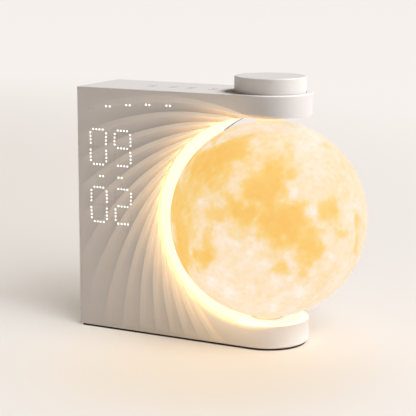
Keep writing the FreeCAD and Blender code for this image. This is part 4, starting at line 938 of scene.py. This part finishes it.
def make_display(fins):
    """Lit dots and unlit pinholes on the front, and the marks of the touch keys on the top face."""
    depsgraph = bpy.context.evaluated_depsgraph_get()
    shell_tree = BVHTree.FromObject(NODES["main_shell"], depsgraph)
    fin_tree = BVHTree.FromObject(fins, depsgraph)
    lit = []
    dark = []
    for top, line in zip(LINE_TOPS, READING):
        for order, digit in enumerate(line):
            for segment, places in SEGMENTS.items():
                target = lit if segment in LIT[digit] else dark
                target.extend((LEFT_DIGIT + order * DIGIT_STEP + x, top + z) for x, z in places)
    lit.extend((x, COLON_HEIGHT) for x in COLON_DOTS)
    lens = finish("lit_dot", (250, 248, 244), 0.4, grain=0.3, depth=0.004)
    light = glow(lens, (255, 254, 250), DOT_GLOW, mottle=0.03, patch=0.6)
    # Each unlit pinhole is a nearly flat disc in a darker colour: painted shade for the inside of the hole.
    hole = finish("pinhole_painted_shade", (120, 110, 100), 0.7, grain=0.2, depth=0.01)
    mark = finish("touch_mark", (16, 14, 13), 0.6, grain=0.2, depth=0.01)
    mark.node_tree.nodes["Principled BSDF"].inputs["Specular IOR Level"].default_value = 0.0
    for name, places, radius, rise, material, slot in (
        ("digit_dots", lit, DOT_RADIUS, DOT_RISE, light, "led"),
        ("indicator_dots", INDICATOR_DOTS, DOT_RADIUS, DOT_RISE, light, "led"),
        ("digit_pinholes", dark, HOLE_RADIUS, HOLE_RISE, hole, "shell"),
        ("indicator_pinholes", INDICATOR_HOLES, HOLE_RADIUS, HOLE_RISE, hole, "shell"),
    ):
        points, faces = dome_points(front_spots((shell_tree, fin_tree), places), radius, rise)
        piece(name, points, faces, material, "housing")
    points, faces = dome_points(top_spots(shell_tree), TOUCH_MARK_RADIUS, TOUCH_MARK_RISE)
    piece("touch_marks", points, faces, mark, "housing")


def make_dome(material):
    """A copy of the sprung dome under the dial, with a mesh of its own, riding on the housing."""
    dome = bpy.data.objects.new("sprung_dome", NODES["click_dome"].data.copy())
    bpy.context.scene.collection.objects.link(dome)
    dome.data.materials.clear()
    dome.data.materials.append(material)
    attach(dome, "housing")
    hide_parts("click_dome")
    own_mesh(dome)


# ---------------------------------------------------------------- dressing the CAD nodes
def dress_nodes(shell_finish_painted_glow):
    """A material for every CAD node that the scene keeps."""
    dress(["main_shell"], shell_finish_painted_glow)
    dress(["rear_cover"], finish("cover_plastic", (221, 215, 207), 0.55, grain=0.4, depth=0.02, mottle=0.02))
    dress(["dial_cap"], finish("dial_plastic", (227, 223, 218), 0.45, grain=0.3, depth=0.008, mottle=0.012))
    dress(["foot_pad"], finish("dark_rubber", (62, 46, 36), 0.85, grain=0.3, depth=0.05, mottle=0.15, patch=3))
    band = finish("milky_diffuser", (190, 184, 170), 0.5, grain=0.4, depth=0.01)
    dress(["bay_diffuser"], glow(band, (255, 247, 222), 0.78, 0.03, 12))
    # The globe's collars get a painted glow, standing in for the globe's light on them.
    bush = finish("collar_plastic_painted_glow", (120, 104, 82), 0.6, grain=0.4, depth=0.03)
    dress(["globe_lower_bush", "globe_upper_bush"], glow(bush, (252, 228, 184), 0.88))
    make_dome(finish("spring_steel", (200, 200, 202), 0.25, metal=1, grain=0.2, depth=0.003, mottle=0.05, patch=1))
    steel = finish("brushed_steel", (190, 190, 192), 0.35, metal=1, grain=0.25, depth=0.006, mottle=0.06, patch=2)
    dress(
        ["cover_screws", "display_screws", "indicator_screws", "touch_screws", "board_screws", "speaker_screws",
         "encoder_screws", "encoder_washer", "encoder_nut", "encoder_shaft", "backup_cell",
         "usb_socket", "post_nut", "pivot_nut"],
        steel,
    )
    # The lamp post and the upper pivot get a painted glow, standing in for the light of the globe's lamp on them.
    enamel = finish("cream_enamel_painted_glow", (238, 220, 186), 0.4, grain=0.4, depth=0.01)
    dress(["lamp_post", "upper_pivot"], glow(enamel, (252, 224, 180), 0.5))
    board = finish("solder_mask", (28, 92, 62), 0.4, grain=0.6, depth=0.01, mottle=0.08, patch=3, coat=0.4)
    dress(
        ["display_board", "indicator_board", "touch_board", "main_board", "encoder_board", "bay_light_strip",
         "lamp_strips"],
        board,
    )
    dress(["main_chips"], finish("chip_resin", (34, 34, 36), 0.5, grain=0.3, depth=0.01, mottle=0.1, patch=1))
    phosphor = finish("led_phosphor", (244, 214, 120), 0.5, grain=0.3, depth=0.01, mottle=0.06, patch=0.8)
    dress(["display_leds", "indicator_leds", "bay_leds", "lamp_leds"], phosphor)
    dress(["display_baffle"], finish("baffle_plastic", (46, 46, 48), 0.7, grain=0.4, depth=0.02, mottle=0.08))
    foam = finish("open_foam", (78, 78, 80), 0.95, grain=0.5, depth=0.15, mottle=0.25, patch=0.9)
    dress(["touch_pads", "speaker_gasket"], foam)
    dress(["cell_holder"], finish("holder_nylon", (58, 56, 54), 0.6, grain=0.4, depth=0.01, mottle=0.06))
    dress(["speaker_cone"], finish("cone_paper", (62, 60, 58), 0.9, grain=0.25, depth=0.05, mottle=0.18, patch=1.2))
    dress(["speaker_frame"], finish("frame_zinc", (150, 150, 154), 0.4, metal=1, depth=0.006, mottle=0.08, patch=3))
    dress(["speaker_magnet"], finish("ferrite", (72, 70, 70), 0.55, metal=0.6, depth=0.01, mottle=0.1, patch=2))
    brass = finish("turned_brass", (202, 168, 98), 0.3, metal=1, grain=0.2, depth=0.005, mottle=0.08, patch=1.5)
    dress(["dial_insert"], brass)
    dress(["lamp_core"], finish("drawn_alloy", (196, 198, 202), 0.35, metal=1, grain=0.3, depth=0.008, mottle=0.06))
    dress(["encoder_body"], finish("encoder_housing", (72, 76, 82), 0.5, grain=0.3, depth=0.01, mottle=0.07))
    dress(["encoder_rotor"], finish("rotor_plastic", (216, 214, 206), 0.5, grain=0.3, depth=0.01, mottle=0.05))


camera = make_camera()
floor = make_floor()
# The fins get a painted warm glow near the bay's rim, for the light of the globe and the bay on them.
fins = make_fins(painted_glow_plastic("fin_plastic_painted_glow", *FIN_PAINTED_GLOW))
make_light(floor, fins)
make_world()
# The main shell gets the same painted glow near the bay's rim, over a shorter reach.
dress_nodes(painted_glow_plastic("shell_plastic_painted_glow", *SHELL_PAINTED_GLOW))
globe = make_globe(camera)
# Lamps stand in for the globe's glow on these, and the globe needs no light from the bay.
link_light(globe, [floor, fins, NODES["main_shell"]], "EXCLUDE")
link_light(NODES["bay_diffuser"], [globe], "EXCLUDE")
make_display(fins)
bpy.context.scene.view_settings.view_transform = "Standard"
